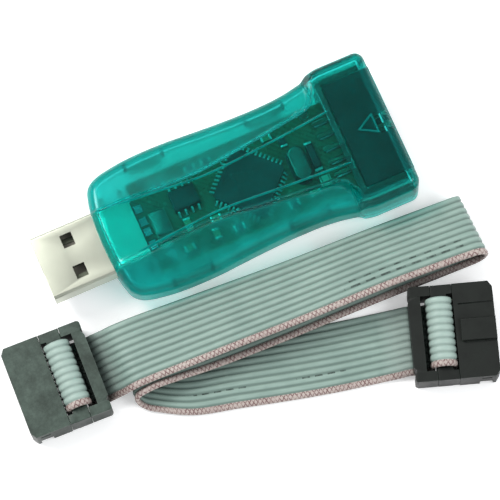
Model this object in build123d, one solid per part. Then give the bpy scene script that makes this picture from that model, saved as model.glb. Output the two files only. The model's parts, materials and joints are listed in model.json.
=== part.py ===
from build123d import *
import math
import os

# USB stick programmer in a translucent two-piece shell, with its loose ten-way ribbon cable.
# Frame: millimetres, +Z up, stick and cable lying on z = 0.
# Origin: middle of the stick's case in plan, on the resting plane.
# +X runs along the stick from the plug to the header; the cable lies on the -Y side.

# ------------------------------------------------------------------ driving dimensions
# Case
CASE_X0, CASE_X1 = -28.2, 28.2      # case ends
CASE_H = 12.0                       # case thickness at the header block
SPLIT_Z = 6.0                       # parting plane of the two shells
LINE_GAP = 0.04                     # gap at the parting line
WALL = 1.3                          # shell wall
FLOOR = 1.1                         # shell floor and roof
HEAD_X0 = 19.4                      # start of the straight-sided header block
HEAD_HALF = 13.75                   # half-width of the header block
HEAD_R = 1.8                        # plan corner radius of the header block
SCOOP_X1 = 17.0                     # finger scoops stop here

# USB plug
PLUG_W, PLUG_H, PLUG_WALL = 12.0, 4.5, 0.3
PLUG_TIP, PLUG_REAR, PLUG_Z = -39.75, -20.8, 6.4
PLUG_CONTACTS = [(3.5, 1.3), (1.0, 2.3), (-1.0, 2.3), (-3.5, 1.3)]    # y, setback from the tip
CONTACT_HALF = 0.5                  # half-width of a plug contact

# Circuit board
PCB_T, PCB_Z0 = 1.6, 5.2
PCB_TOP = PCB_Z0 + PCB_T
PCB_X0, PCB_X1, PCB_HALF = -20.3, 18.7, 8.6
SEAT = 0.02                         # gap under most parts on the board

# Two-by-five shrouded header
HDR_W, HDR_H, HDR_L = 20.3, 8.9, 9.0
HDR_X0, HDR_Z = 19.1, 6.0
HDR_WALL = 1.15                     # shroud side wall
PITCH = 2.54
PIN = 0.64

# Ten-way flat cable
RIB_W, RIB_T, WIRE_PITCH = 12.7, 0.9, 1.27
WIRE = 0.38                         # square wire section
WIRE_CLEAR = 0.02                   # gap around a wire in the insulation
WIRE_Y = [(k - 4.5) * WIRE_PITCH for k in range(10)]

# Cable sockets: mating-face centre x, y, then turn in plan (degrees)
SOCK_A = (-52.82, -18.60, -2.2)
SOCK_B = (29.95, -41.90, 161.3)
SOCK_W, SOCK_H = 17.3, 6.0

# ------------------------------------------------------------------ case tables
# x, half-width of the case, from the plug end to the header block
SIDE = [
    (CASE_X0, 0.0), (CASE_X0 + 0.08, 3.0), (CASE_X0 + 0.35, 6.2),
    (-27.35, 8.6), (-26.75, 10.2), (-25.6, 11.3), (-23.9, 12.0), (-21.8, 12.4),
    (-19.6, 12.72), (-17.4, 12.88), (-15.3, 12.95), (-13.1, 12.95), (-10.0, 12.85),
    (-6.7, 12.6), (-3.5, 12.38), (0.0, 12.18), (3.5, 12.05), (7.0, 12.03),
    (10.0, 12.15), (12.7, 12.45), (15.0, 12.88), (17.2, 13.36), (19.0, 13.68)]
# x, roof height
ROOF = [(-30.0, 10.7), (-24.0, 11.15), (-16.0, 11.15), (-8.0, 10.95),
        (0.0, 10.85), (8.0, 10.95), (14.0, 11.45), (18.0, 11.95)]
# x, half-width of the smooth spine between the scoops, flaring out at their header end
SPINE = [(-30.0, 5.2), (-22.0, 5.1), (-14.0, 4.6), (-7.0, 4.6), (0.0, 5.4), (6.0, 6.1),
         (12.0, 6.8), (SCOOP_X1 - 2.4, 7.45), (SCOOP_X1 - 0.7, 8.75),
         (SCOOP_X1 - 0.1, 10.8), (SCOOP_X1 + 0.4, 20.0)]
# x, y of the thin raised line on each side of the spine
RIDGE = [(-23.0, 4.75), (-14.0, 4.0), (-7.0, 3.5), (0.0, 3.8),
         (6.0, 4.25), (12.0, 4.7), (18.3, 5.2)]
RIDGE_HALF, RIDGE_RISE, RIDGE_ROOT = 0.2, 0.13, 0.6     # half-width, height above, depth below

# Scoop floor: height at its inner and outer edge, for each shell
SCOOP_Y0, SCOOP_Y1, SCOOP_CROWN = 3.2, 13.5, 0.15
TOP_SCOOP = (10.45, 8.9)
BOTTOM_SCOOP = (11.0, 9.3)          # before the half is mirrored down

POST_XY = [(x, y) for x in (-17.5, 14.2) for y in (7.1, -7.1)]
BOTTOM_POST = (1.1, 4.56, 2.9)      # radius, height, centre z
TOP_POST = (0.9, 3.84, 8.75)
# Snap latches: x start, x end, side, y of the tongue's middle
LATCHES = [(x0, x1, side, side * y)
           for x0, x1, y in ((-18.6, -12.2, 11.15), (4.6, 11.0, 10.25)) for side in (1, -1)]
LATCH_Z0, LATCH_Z1, LATCH_HALF = 3.2, 7.6, 0.4

os.makedirs("parts", exist_ok=True)


# ------------------------------------------------------------------ helpers
def save(name, obj):
    solids = obj.solids()
    out = solids[0] if len(solids) == 1 else Compound(children=list(solids))
    out.label = name
    export_step(out, "parts/" + name + ".step")


def block(x0, x1, y0, y1, z0, z1):
    """Box between two corners; y0 and y1 may come in either order."""
    centre = Pos((x0 + x1) / 2, (y0 + y1) / 2, (z0 + z1) / 2)
    return centre * Box(x1 - x0, abs(y1 - y0), z1 - z0)


def group(items):
    return Compound(children=[solid for item in items for solid in item.solids()])


def biggest(shape):
    return sorted(shape.solids(), key=lambda solid: solid.volume)[-1]


def lines(*points):
    return [Line(a, b) for a, b in zip(points, points[1:])]


def top_edges(shape):
    return shape.edges().group_by(Axis.Z)[-1]


# ------------------------------------------------------------------ case shells
def outline(inset):
    """Plan of the case, moved inwards by inset."""
    full = SIDE[::-1] + [(x, -y) for x, y in SIDE[1:]]
    points = []
    for i, (x, y) in enumerate(full):
        before = full[max(i - 1, 0)]
        after = full[min(i + 1, len(full) - 1)]
        dx, dy = after[0] - before[0], after[1] - before[1]
        length = math.hypot(dx, dy)
        # inwards is to the left of travel
        points.append((x - dy / length * inset, y + dx / length * inset))
    half = HEAD_HALF - inset
    x1 = CASE_X1 - inset
    r = max(HEAD_R - inset, 0.5)
    # the end points meet the straight sides of the header block
    points[0] = (HEAD_X0, half)
    points[-1] = (HEAD_X0, -half)
    return make_face([
        Spline(*points),
        Line((HEAD_X0, half), (x1 - r, half)),
        RadiusArc((x1 - r, half), (x1, half - r), r),
        Line((x1, half - r), (x1, -(half - r))),
        RadiusArc((x1, -(half - r)), (x1 - r, -half), r),
        Line((x1 - r, -half), (HEAD_X0, -half))])


def round_top(body, z):
    """Round the edges at height z with the largest radius that works."""
    edges = [e for e in body.edges() if abs(e.center().Z - z) < 1e-4]
    for radius in (2.2, 1.8, 1.4, 1.0):
        # guards against a radius too large for the tight curves of the outline
        try:
            out = fillet(edges, radius)
            if out.is_valid and out.volume > 0.5 * body.volume:
                return out
        except Exception:
            pass
    return body


def above_roof(drop):
    curve = Spline(*[(x, z - drop) for x, z in ROOF])
    start, end = curve @ 0, curve @ 1
    far_x, high = -45, 30
    border = lines(start, (far_x, start.Y), (far_x, high), (end.X, high), end)
    return extrude(Plane.XZ * make_face(border + [curve]), amount=40, both=True)


def scoop(side, heights, drop):
    """Finger scoop tool: above its curved floor and outside the spine."""
    inner_z, outer_z = heights[0] - drop, heights[1] - drop
    y0, y1 = side * SCOOP_Y0, side * SCOOP_Y1
    floor = ThreePointArc((y0, inner_z),
                          ((y0 + y1) / 2, (inner_z + outer_z) / 2 + SCOOP_CROWN),
                          (y1, outer_z))
    border = lines((y1, outer_z), (side * 22, outer_z), (side * 22, 30), (y0, 30), (y0, inner_z))
    above = extrude(Plane.YZ * make_face([floor] + border), amount=60, both=True)
    edge = Spline(*[(x, side * y) for x, y in SPINE])
    border = lines(edge @ 1, (-40, side * 20.0), (-40, side * SPINE[0][1]), edge @ 0)
    return above & extrude(make_face([edge] + border), amount=30)


def half_case(heights, curved_roof, cavity):
    """Upper half of the case from the parting plane, or the cavity inside it."""
    inset, drop = (WALL, FLOOR) if cavity else (0, 0.0)
    # the cavity starts below the parting plane so that the shell is cut open
    z0 = SPLIT_Z - 1 if cavity else SPLIT_Z + LINE_GAP / 2
    z1 = CASE_H - drop
    body = extrude(Pos(0, 0, z0) * outline(inset), amount=z1 - z0)
    if not cavity:
        body = round_top(body, z1)
    if curved_roof:
        body = body - above_roof(drop)
    for side in (1, -1):
        body = body - scoop(side, heights, drop)
    return body


def flip(shape):
    """Mirror an upper half about the parting plane."""
    return mirror(shape, about=Plane.XY.offset(SPLIT_Z))


def add_ridges(shell):
    under = Spline(*[(x, z - RIDGE_ROOT) for x, z in ROOF])
    over = Spline(*[(x, z + RIDGE_RISE) for x, z in reversed(ROOF)])
    slab = make_face([under, Line(under @ 1, over @ 0), over, Line(over @ 1, under @ 0)])
    for side in (1, -1):
        inner = [(x, side * (y - RIDGE_HALF)) for x, y in RIDGE]
        outer = [(x, side * (y + RIDGE_HALF)) for x, y in reversed(RIDGE)]
        plan = make_face([Spline(*inner), Line(inner[-1], outer[0]),
                          Spline(*outer), Line(outer[-1], inner[0])])
        ridge = extrude(plan, amount=30) & extrude(Plane.XZ * slab, amount=40, both=True)
        shell = shell + ridge
    return shell


def fit_out(shell, outer, keep, post):
    """Add the collar, ribs and posts within one half, then cut room for the contents."""
    collar = block(HDR_X0 - 1.2, CASE_X1 - 1.0, -HDR_W / 2 - 1.2, HDR_W / 2 + 1.2,
                   0.6, CASE_H - 0.6)
    plug_ribs = [block(x0, x0 + 0.9, -7.4, 7.4, 0.6, 10.6) for x0 in (-25.8, -22.2)]
    shell = shell + ((collar + plug_ribs[0] + plug_ribs[1]) & keep & outer)
    radius, height, z = post
    for x, y in POST_XY:
        shell = shell + (Pos(x, y, z) * Cylinder(radius, height) & outer)
    header_y, header_z = HDR_W / 2 + 0.1, HDR_H / 2 + 0.08
    plug_y, plug_z = PLUG_W / 2 + 0.08, PLUG_H / 2 + 0.08
    board_y = PCB_HALF + 0.3
    for gap in (
        block(HDR_X0 - 0.05, 40, -header_y, header_y, HDR_Z - header_z, HDR_Z + header_z),
        block(-45, -20.6, -plug_y, plug_y, PLUG_Z - plug_z, PLUG_Z + plug_z),
        block(-23.2, 19.4, -board_y, board_y, PCB_Z0 - SEAT, PCB_TOP + SEAT),
        block(14.0, HDR_X0 + 0.1, -6.2, 6.2, 3.4, 8.6),      # header pin tails
    ):
        shell = shell - gap
    return shell


def top_shell():
    outer = half_case(TOP_SCOOP, True, cavity=False)
    shell = add_ridges(outer - half_case(TOP_SCOOP, True, cavity=True))
    keep = block(-60, 60, -30, 30, SPLIT_Z + LINE_GAP / 2, 30)
    shell = fit_out(shell, outer, keep, TOP_POST)
    # clearance for the latch tongues
    for x0, x1, side, y in LATCHES:
        reach = LATCH_HALF + 0.1
        shell = shell - block(x0 - 0.15, x1 + 0.15, y - reach, y + reach, 5.5, LATCH_Z1 + 0.2)
    # raised triangle outline that marks the first header pin
    rim = make_face(Polyline((25.1, 1.75), (25.1, -2.25), (21.6, -0.25), (25.1, 1.75)))
    hollow = make_face(Polyline((24.7, 1.2), (24.7, -1.7), (22.2, -0.25), (24.7, 1.2)))
    shell = shell + extrude(Pos(0, 0, CASE_H - 0.3) * (rim - hollow), amount=0.45)
    return biggest(shell)


def bottom_shell():
    outer = flip(half_case(BOTTOM_SCOOP, False, cavity=False))
    shell = outer - flip(half_case(BOTTOM_SCOOP, False, cavity=True))
    keep = block(-60, 60, -30, 30, -5, SPLIT_Z - LINE_GAP / 2)
    shell = fit_out(shell, outer, keep, BOTTOM_POST)
    # latch tongues rise inside the top shell's side walls, each on a foot from the wall
    for x0, x1, side, y in LATCHES:
        shell = shell + block(x0, x1, y - LATCH_HALF, y + LATCH_HALF, LATCH_Z0, LATCH_Z1)
        shell = shell + (block(x0, x1, y, side * 12.3, LATCH_Z0, 4.4) & outer)
    return biggest(shell)


save("top_shell", top_shell())
save("bottom_shell", bottom_shell())


# ------------------------------------------------------------------ USB plug
def plug_tube(x0, x1, width, height, radius):
    tube = block(x0, x1, -width / 2, width / 2, PLUG_Z - height / 2, PLUG_Z + height / 2)
    return fillet(tube.edges().filter_by(Axis.X), radius)


def plug_shell():
    bore = plug_tube(PLUG_TIP - 1, PLUG_REAR + 1,
                     PLUG_W - 2 * PLUG_WALL, PLUG_H - 2 * PLUG_WALL, 0.22)
    plug = plug_tube(PLUG_TIP, PLUG_REAR, PLUG_W, PLUG_H, 0.5) - bore
    # square windows through top and bottom
    for y in (3.05, -3.05):
        plug = plug - block(PLUG_TIP + 5.1, PLUG_TIP + 7.3, y - 1.25, y + 1.25, 0, 12)
    # folded seam along the underside
    return plug - block(PLUG_TIP - 1, PLUG_REAR + 1, -0.04, 0.04, 0, PLUG_Z - 1.0)


def plug_contact(y, setback):
    y0, y1 = y - CONTACT_HALF, y + CONTACT_HALF
    blade = block(PLUG_TIP + setback, -21.9, y0, y1, PLUG_Z - 0.05, PLUG_Z + 0.13)
    riser = block(-22.4, -22.1, y0, y1, PLUG_Z + 0.13, PCB_TOP + 0.22)
    foot = block(-22.4, -19.3, y0, y1, PCB_TOP + SEAT, PCB_TOP + 0.22)
    return blade + riser + foot


def plug_insulator():
    half, root_x = 5.62, -23.1
    tongue = block(PLUG_TIP + 0.35, root_x, -half, half, PLUG_Z - 1.9, PLUG_Z - 0.05)
    root = block(-27.2, root_x, -half, half, PLUG_Z - 1.9, PLUG_Z + 1.9)
    body = tongue + root
    body = body - block(-24.6, -23.0, -4.6, 4.6, PLUG_Z - 0.05, PLUG_Z + 1.0)
    slot = CONTACT_HALF + 0.02
    for y, setback in PLUG_CONTACTS:
        body = body - block(PLUG_TIP + setback - 0.03, -20, y - slot, y + slot,
                            PLUG_Z - 0.07, PLUG_Z + 0.16)
    return body


save("usb_plug_shell", plug_shell())
save("usb_contacts", group([plug_contact(y, setback) for y, setback in PLUG_CONTACTS]))
save("usb_plug_insulator", plug_insulator())

# ------------------------------------------------------------------ circuit board and its parts
MCU_X, MCU_Y, MCU_SIZE = 0.35, -0.1, 10
MCU_SIDE_LEADS, MCU_LEAD_PITCH, MCU_LEAD_HALF = 11, 0.8, 0.185
# distance from the chip's middle, height above the foot
MCU_LEAD = [(5.0, 0.55), (5.45, 0.55), (5.6, 0.12), (6.05, 0.12),
            (6.05, 0.0), (5.5, 0.0), (5.35, 0.43), (5.0, 0.43)]
REG_X, REG_Y = -11.4, 2.0
CRYSTAL_X, CRYSTAL_Y = -17.0, -0.6
CAN_X, CAN_Y = 9.95, -0.9
DIODE_X, DIODE_Y = 12.85, -0.3

CHIP_L, CHIP_W = 2.0, 1.25
# x, y, turn in plan
RESISTORS = [(8.9, 4.5, 90), (6.3, -6.9, 0), (-5.2, 6.6, 0),
             (-8.3, 6.6, 0), (-14.6, 6.0, 0), (-4.4, -6.9, 0)]
CAPACITORS = [(10.6, -6.6, 0), (-8.6, -6.4, 90), (6.4, 6.3, 0),
              (-12.6, -2.6, 90), (-14.0, -6.9, 0), (-7.6, -3.9, 0)]
LEDS = [(-17.6, -4.6), (13.2, -5.0)]


def circuit_board():
    board = block(PCB_X0, PCB_X1, -PCB_HALF, PCB_HALF, PCB_Z0, PCB_TOP)
    board = board + block(-21.6, PCB_X0 + 0.5, -5.3, 5.3, PCB_Z0, PCB_TOP)
    return fillet(board.edges().filter_by(Axis.Z), 0.4)


def mcu_body():
    body = Box(MCU_SIZE, MCU_SIZE, 1.0)
    body = chamfer(body.edges().filter_by(Axis.Z), 0.5)
    body = body - Pos(0, 3.8, 0.5) * Cylinder(0.5, 0.12)     # round mark in one corner
    return Pos(MCU_X, MCU_Y, PCB_TOP + 0.62) * Rot(0, 0, 45) * body


def mcu_leads():
    profile = make_face(Polyline(*MCU_LEAD, MCU_LEAD[0]))
    lead = extrude(Plane.XZ * profile, amount=MCU_LEAD_HALF, both=True)
    leads = []
    for quarter in range(4):
        side = Pos(MCU_X, MCU_Y, PCB_TOP + SEAT) * Rot(0, 0, 45 + 90 * quarter)
        for k in range(MCU_SIDE_LEADS):
            leads.append(side * Pos(0.02, (k - 5) * MCU_LEAD_PITCH, 0) * lead)
    return group(leads)


def regulator_body():
    """Small eight-pin chip near the plug."""
    body = Pos(REG_X, REG_Y, PCB_TOP + 0.75) * Box(4.9, 3.9, 1.3)
    return chamfer(body.edges().filter_by(Axis.X).group_by(Axis.Z)[-1], 0.25)


def regulator_leads():
    leads = []
    for side in (1, -1):
        for k in range(4):
            x = REG_X + (k - 1.5) * 1.27
            shoulder = block(x - 0.2, x + 0.2, side * 1.97, side * 2.5, 0.7, 0.9)
            leg = block(x - 0.2, x + 0.2, side * 2.3, side * 2.5, 0.0, 0.9)
            foot = block(x - 0.2, x + 0.2, side * 2.3, side * 3.05, 0.0, 0.18)
            leads.append(Pos(0, REG_Y, PCB_TOP + 0.01) * (shoulder + leg + foot))
    return group(leads)


def crystal_part(width, length, height, z, radius):
    part = Pos(CRYSTAL_X, CRYSTAL_Y, PCB_TOP + z) * Box(width, length, height)
    return fillet(part.edges().filter_by(Axis.Z), radius)


def resonator_part(length, width, z, height):
    plan = Pos(CAN_X, CAN_Y, PCB_TOP + z) * Rot(0, 0, 90) * SlotOverall(length, width)
    return extrude(plan, amount=height)


def diode_body():
    body = Pos(DIODE_X, DIODE_Y, PCB_TOP + 0.62) * Box(1.5, 4.6, 1.2)
    return chamfer(top_edges(body), 0.2)


def diode_ends():
    return group([block(DIODE_X - 0.7, DIODE_X + 0.7, DIODE_Y + side * 2.35,
                        DIODE_Y + side * 2.8, PCB_TOP + SEAT, PCB_TOP + 0.7)
                  for side in (1, -1)])


def chips(places, height, cap):
    """Bodies and metal end caps of one kind of chip part; cap is the cap length."""
    bodies, caps = [], []
    for x, y, turn in places:
        place = Pos(x, y, PCB_TOP + SEAT + height / 2) * Rot(0, 0, turn)
        bodies.append(place * Box(CHIP_L - 2 * cap, CHIP_W, height))
        for side in (1, -1):
            end = Pos(side * (CHIP_L / 2 - cap / 2), 0, 0)
            caps.append(place * end * Box(cap - 0.01, CHIP_W + 0.04, height + 0.02))
    return bodies, caps


def led(x, y):
    base = Pos(x, y, PCB_TOP + 0.22) * Box(CHIP_L, CHIP_W, 0.4)
    lens = Pos(x, y, PCB_TOP + 0.62) * Box(1.2, 1.2, 0.4)
    return base + lens


save("circuit_board", circuit_board())
save("microcontroller_body", mcu_body())
save("microcontroller_leads", mcu_leads())
save("regulator_body", regulator_body())
save("regulator_leads", regulator_leads())
save("clock_crystal_base", crystal_part(3.2, 5.0, 0.7, z=0.36, radius=0.2))
save("clock_crystal_lid", crystal_part(2.8, 4.6, 0.44, z=0.95, radius=0.5))
can = resonator_part(6.6, 3.2, z=0.3, height=2.3)
save("resonator_can", fillet(top_edges(can), 0.4))
save("resonator_base", resonator_part(7.2, 3.7, z=SEAT, height=0.27))
save("protection_diode_body", diode_body())
save("protection_diode_ends", diode_ends())
resistor_bodies, resistor_caps = chips(RESISTORS, height=0.5, cap=0.35)
capacitor_bodies, capacitor_caps = chips(CAPACITORS, height=0.9, cap=0.4)
save("chip_resistors", group(resistor_bodies))
save("chip_capacitors", group(capacitor_bodies))
save("chip_end_caps", group(resistor_caps + capacitor_caps))
save("indicator_leds", group([led(x, y) for x, y in LEDS]))

# ------------------------------------------------------------------ shrouded header and solder
TAIL_X0 = 15.0                      # pin tails start here
HEADER_PINS = [((k - 2) * PITCH, HDR_Z + row * PITCH / 2, row)
               for row in (1, -1) for k in range(5)]          # y, z, row


def pin_block(x0, x1, y, z, clear=0.0):
    half = PIN / 2 + clear
    return block(x0, x1, y - half, y + half, z - half, z + half)


def header_shroud():
    z0, z1 = HDR_Z - HDR_H / 2, HDR_Z + HDR_H / 2
    half, x1 = HDR_W / 2, HDR_X0 + HDR_L + 1
    shroud = block(HDR_X0, HDR_X0 + HDR_L, -half, half, z0, z1)
    shroud = shroud - block(HDR_X0 + 2.6, x1, -half + HDR_WALL, half - HDR_WALL,
                            z0 + 1.2, z1 - 1.2)
    shroud = shroud - block(25.3, x1, -2.15, 1.85, z1 - 2, z1 + 1)     # key notch
    for y, z, row in HEADER_PINS:
        shroud = shroud - pin_block(TAIL_X0, HDR_X0 + 2.7, y, z, clear=0.01)
    return shroud


def header_pin(y, z):
    pin = pin_block(TAIL_X0, HDR_X0 + 8.3, y, z)
    return chamfer(pin.faces().sort_by(Axis.X)[-1].edges(), 0.15)


def solder_joints():
    joints = []
    for y, z, row in HEADER_PINS:
        # the upper row is soldered on the board's top face, the lower row on its underside
        z0, z1 = (PCB_TOP + 0.01, PCB_TOP + 0.45) if row > 0 else (PCB_Z0 - 0.45, PCB_Z0 - 0.01)
        joint = block(15.2, 18.0, y - 0.62, y + 0.62, z0, z1)
        joint = chamfer(joint.edges().group_by(Axis.Z)[-1 if row > 0 else 0], 0.25)
        joints.append(joint - pin_block(14.9, 18.5, y, z, clear=0.01))
    for y, setback in PLUG_CONTACTS:
        joint = block(-20.6, -19.0, y - 0.75, y + 0.75, PCB_TOP + 0.01, PCB_TOP + 0.4)
        joint = chamfer(top_edges(joint), 0.15)
        slot = CONTACT_HALF + 0.02
        joints.append(joint - block(-21, -19.28, y - slot, y + slot, PCB_TOP, PCB_TOP + 0.24))
    return group(joints)


save("header_shroud", header_shroud())
save("header_pins", group([header_pin(y, z) for y, z, row in HEADER_PINS]))
save("solder_joints", solder_joints())

# ------------------------------------------------------------------ flat cable
# A frame is (centre, width direction, normal) at one station along the ribbon.


def edge_frames(pairs):
    """Frames from stations given as a point on each edge of the ribbon."""
    pairs = [(Vector(far), Vector(near)) for far, near in pairs]
    centres = [(far + near) * 0.5 for far, near in pairs]
    frames = []
    for i, (far, near) in enumerate(pairs):
        width = (far - near).normalized()
        along = centres[min(i + 1, len(centres) - 1)] - centres[max(i - 1, 0)]
        frames.append((centres[i], width, along.normalized().cross(width).normalized()))
    return frames


def strip(frames, across0, across1, up0, up1):
    """Rectangular bar along the frames, between offsets across the width and thickness."""
    corners = ((across0, up0), (across1, up0), (across1, up1), (across0, up1))
    sections = [
        Wire.make_polygon([centre + width * across + normal * up for across, up in corners],
                          close=True)
        for centre, width, normal in frames]
    return Solid.make_loft(sections, ruled=True)


def insulation(frames):
    return strip(frames, -RIB_W / 2, RIB_W / 2, -RIB_T / 2, RIB_T / 2)


def wire_bars(frames, clear=0.0):
    half = WIRE / 2 + clear
    return [strip(frames, y - half, y + half, -half, half) for y in WIRE_Y]


def wire_holes(frames):
    """Wire passages, run 0.5 past both ends of the insulation."""
    def beyond(end, neighbour):
        step = (end[0] - neighbour[0]).normalized() * 0.5
        return (end[0] + step, end[1], end[2])

    longer = [beyond(frames[0], frames[1])] + frames + [beyond(frames[-1], frames[-2])]
    return wire_bars(longer, WIRE_CLEAR)


def right_arc(angle):
    """Far and near points of the right loop; -90 is its lower tangent, +90 its upper one."""
    out = Vector(1.0, -0.042, 0.0).normalized()
    a = math.radians(angle)
    return tuple(
        Vector(centre) + out * (radius * math.cos(a)) + Vector(0, 0, radius * math.sin(a))
        for centre, radius in (((32.55, -16.35, 2.45), 1.40), ((31.35, -28.85, 4.4), 2.75)))


# Stations: a point on the far edge (towards the stick, +Y), then one on the near edge (-Y).
# The three runs stop short of each other at the outermost line of each loop.
# Bottom run: from socket B, along the table, to the lower half of the left loop (-X end)
BOTTOM_RUN = [
    ((17.16, -30.87, 0.95), (13.09, -42.90, 0.95)),
    ((15.0, -30.42, 0.68), (11.2, -42.5, 0.68)),
    ((12.0, -29.75, 0.52), (8.3, -41.95, 0.52)),
    ((3.2, -27.95, 0.50), (0.0, -40.24, 0.50)),
    ((-14.0, -23.55, 0.5), (-17.2, -35.84, 0.5)),
    ((-24.9, -20.5, 0.48), (-26.3, -33.25, 0.55)),
    ((-29.4, -18.1, 0.5), (-30.6, -30.75, 0.75)),
    ((-31.0, -17.1, 0.75), (-32.2, -29.75, 1.12)),
    ((-31.8, -16.2, 1.2), (-33.05, -28.8, 1.7)),
    ((-32.0, -15.92, 1.40), (-33.27, -28.52, 1.98))]
# Middle run: upper half of the left loop to the lower half of the right loop
MIDDLE_RUN = [
    ((-32.05, -15.2, 2.25), (-33.35, -27.8, 3.15)),
    ((-31.8, -15.05, 2.6), (-33.05, -27.65, 3.62)),
    ((-31.1, -14.9, 3.05), (-32.2, -27.55, 4.27)),
    ((-29.9, -14.8, 3.3), (-30.6, -27.45, 4.6)),
    ((-24.4, -14.95, 3.1), (-24.9, -27.65, 4.25)),
    ((-20.0, -15.2, 2.85), (-20.3, -28.0, 3.7)),
    ((8.0, -16.05, 1.9), (7.7, -28.75, 2.2)),
] + [right_arc(angle) for angle in (-90, -74, -58, -42, -26)]
# Top run: upper half of the right loop, over everything, then down to socket A
TOP_RUN = [right_arc(angle) for angle in (26, 42, 58, 74, 90)] + [
    ((17.4, -15.75, 3.8), (16.9, -27.85, 7.5)),
    ((-1.0, -15.1, 3.95), (-1.5, -27.35, 7.1)),
    ((-15.0, -14.3, 4.2), (-15.5, -26.75, 6.5)),
    ((-29.5, -13.5, 4.5), (-30.0, -26.15, 5.65)),
    ((-31.7, -13.45, 4.4), (-32.2, -26.1, 5.45)),
    ((-32.9, -13.4, 4.1), (-33.4, -26.05, 4.9)),
    ((-33.9, -13.3, 3.5), (-34.35, -26.0, 4.0)),
    ((-34.9, -13.2, 2.75), (-35.3, -25.85, 3.05)),
    ((-35.9, -13.0, 2.05), (-36.3, -25.7, 2.15)),
    ((-36.85, -12.9, 1.42), (-37.25, -25.6, 1.42))]

for run, stations in (("bottom", BOTTOM_RUN), ("middle", MIDDLE_RUN), ("top", TOP_RUN)):
    run_frames = edge_frames(stations)
    save("ribbon_" + run + "_run", insulation(run_frames) - wire_holes(run_frames))
    save("wires_" + run + "_run", group(wire_bars(run_frames)))

# ------------------------------------------------------------------ cable sockets
# Local frame of a socket: +X from the mating face back to the cable, z = 0 resting plane.
SOCK_HALF = SOCK_W / 2
ROW_Z = 3.05                        # middle height between the two contact rows
SLOT_Y, SLOT_Z = 6.4, 1.85          # half-sizes of the room around the crimp forks
FORK_IN, FORK_OUT = 0.23, 0.41      # inner and outer face of a fork prong, from its wire
FORK_CLEAR = 0.02
COVER_X0, COVER_X1 = 8.27, 11.1
COVER_TOP = SOCK_H - 0.05
FOLD_X, FOLD_Z, FOLD_R = 9.75, 5.0, 2.0     # ribbon fold over the cover
# y and z of each contact, then y of the wire it grips
SOCKET_CONTACTS = [((k - 2) * PITCH, ROW_Z + row * PITCH / 2, WIRE_Y[2 * k + (row < 0)])
                   for row in (1, -1) for k in range(5)]
# x, z of the ribbon's middle: in from the back, up behind the cover, over it, into the crimp
RIBBON_PATH = [(15.33, 0.98), (14.6, 0.72), (13.7, 0.57), (12.8, 0.62), (12.15, 0.95),
               (11.82, 1.55), (11.75, 2.3), (FOLD_X + FOLD_R, FOLD_Z)]
RIBBON_PATH += [(FOLD_X + FOLD_R * math.cos(math.radians(22.5 * k)),
                 FOLD_Z + FOLD_R * math.sin(math.radians(22.5 * k))) for k in range(1, 8)]
RIBBON_PATH += [(FOLD_X - FOLD_R, FOLD_Z), (FOLD_X - FOLD_R, 0.35)]
# x, y outline of the strain clip's bowed bar
CLIP_BAR = [(13.0, -7.2), (14.7, -7.2), (14.75, -6.5), (15.2, -5.9), (15.2, 5.9),
            (14.75, 6.5), (14.7, 7.2), (13.0, 7.2), (13.0, -7.2)]


def socket_housing(with_key):
    house = block(0, 7.2, -SOCK_HALF, SOCK_HALF, 0.12, SOCK_H)
    house = chamfer(house.edges().filter_by(Axis.Z).group_by(Axis.X)[0], 1.1, 0.75)
    if with_key:
        key = block(0.0, 6.2, -2.05, 2.05, SOCK_H, SOCK_H + 0.75)
        house = house + fillet(key.edges().filter_by(Axis.X).group_by(Axis.Z)[-1], 0.25)
        # thin groove in the top beside the key
        house = house - block(-1, 6.4, -5.0, -4.7, SOCK_H - 0.35, SOCK_H + 1)
    # moulded recesses in the side walls near the mating face
    for side in (1, -1):
        house = house - block(1.5, 3.3, side * (SOCK_HALF - 0.45), side * 9, 4.1, 4.75)
        house = house - block(1.3, 3.6, side * (SOCK_HALF - 0.7), side * 9, -1, 1.9)
    for y, z, wire_y in SOCKET_CONTACTS:
        house = house - block(-1, 6.8, y - 0.5, y + 0.5, z - 0.5, z + 0.5)
    return house - block(6.55, 8, -SLOT_Y, SLOT_Y, ROW_Z - SLOT_Z, ROW_Z + SLOT_Z)


def socket_contact(y, z, wire_y):
    """Two beams joined at the back, and a foot that carries the fork for the wire."""
    y0, y1 = y - 0.42, y + 0.42
    contact = block(0.9, 6.7, y0, y1, z + 0.36, z + 0.46)
    contact = contact + block(0.9, 6.7, y0, y1, z - 0.46, z - 0.36)
    contact = contact + block(5.6, 6.7, y0, y1, z - 0.46, z + 0.46)
    foot = block(6.6, 6.9, min(y, wire_y) - FORK_OUT, max(y, wire_y) + FORK_OUT,
                 z - 0.42, z + 0.42)
    contact = contact + foot
    for side in (-1, 1):
        contact = contact + block(6.8, 8.75, wire_y + side * FORK_IN,
                                  wire_y + side * FORK_OUT, z - 0.42, z + 0.42)
    return contact


def socket_cover():
    cover = block(COVER_X0, COVER_X1, -SOCK_HALF, SOCK_HALF, 0.3, COVER_TOP)
    cover = cover - block(8, 12, -6.45, 6.45, 5.3, 8)
    cover = cover - block(8.0, 8.9, -SLOT_Y, SLOT_Y, ROW_Z - SLOT_Z, ROW_Z + SLOT_Z)
    # end legs that reach the housing
    for side in (1, -1):
        cover = cover + block(7.25, 8.3, side * 6.9, side * SOCK_HALF, 0.5, COVER_TOP)
    # slots for the clip's tongues
    for side in (1, -1):
        cover = cover - block(9.1, 12, side * 7.27, side * 8.13, 1.95, 4.05)
    return cover


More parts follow.
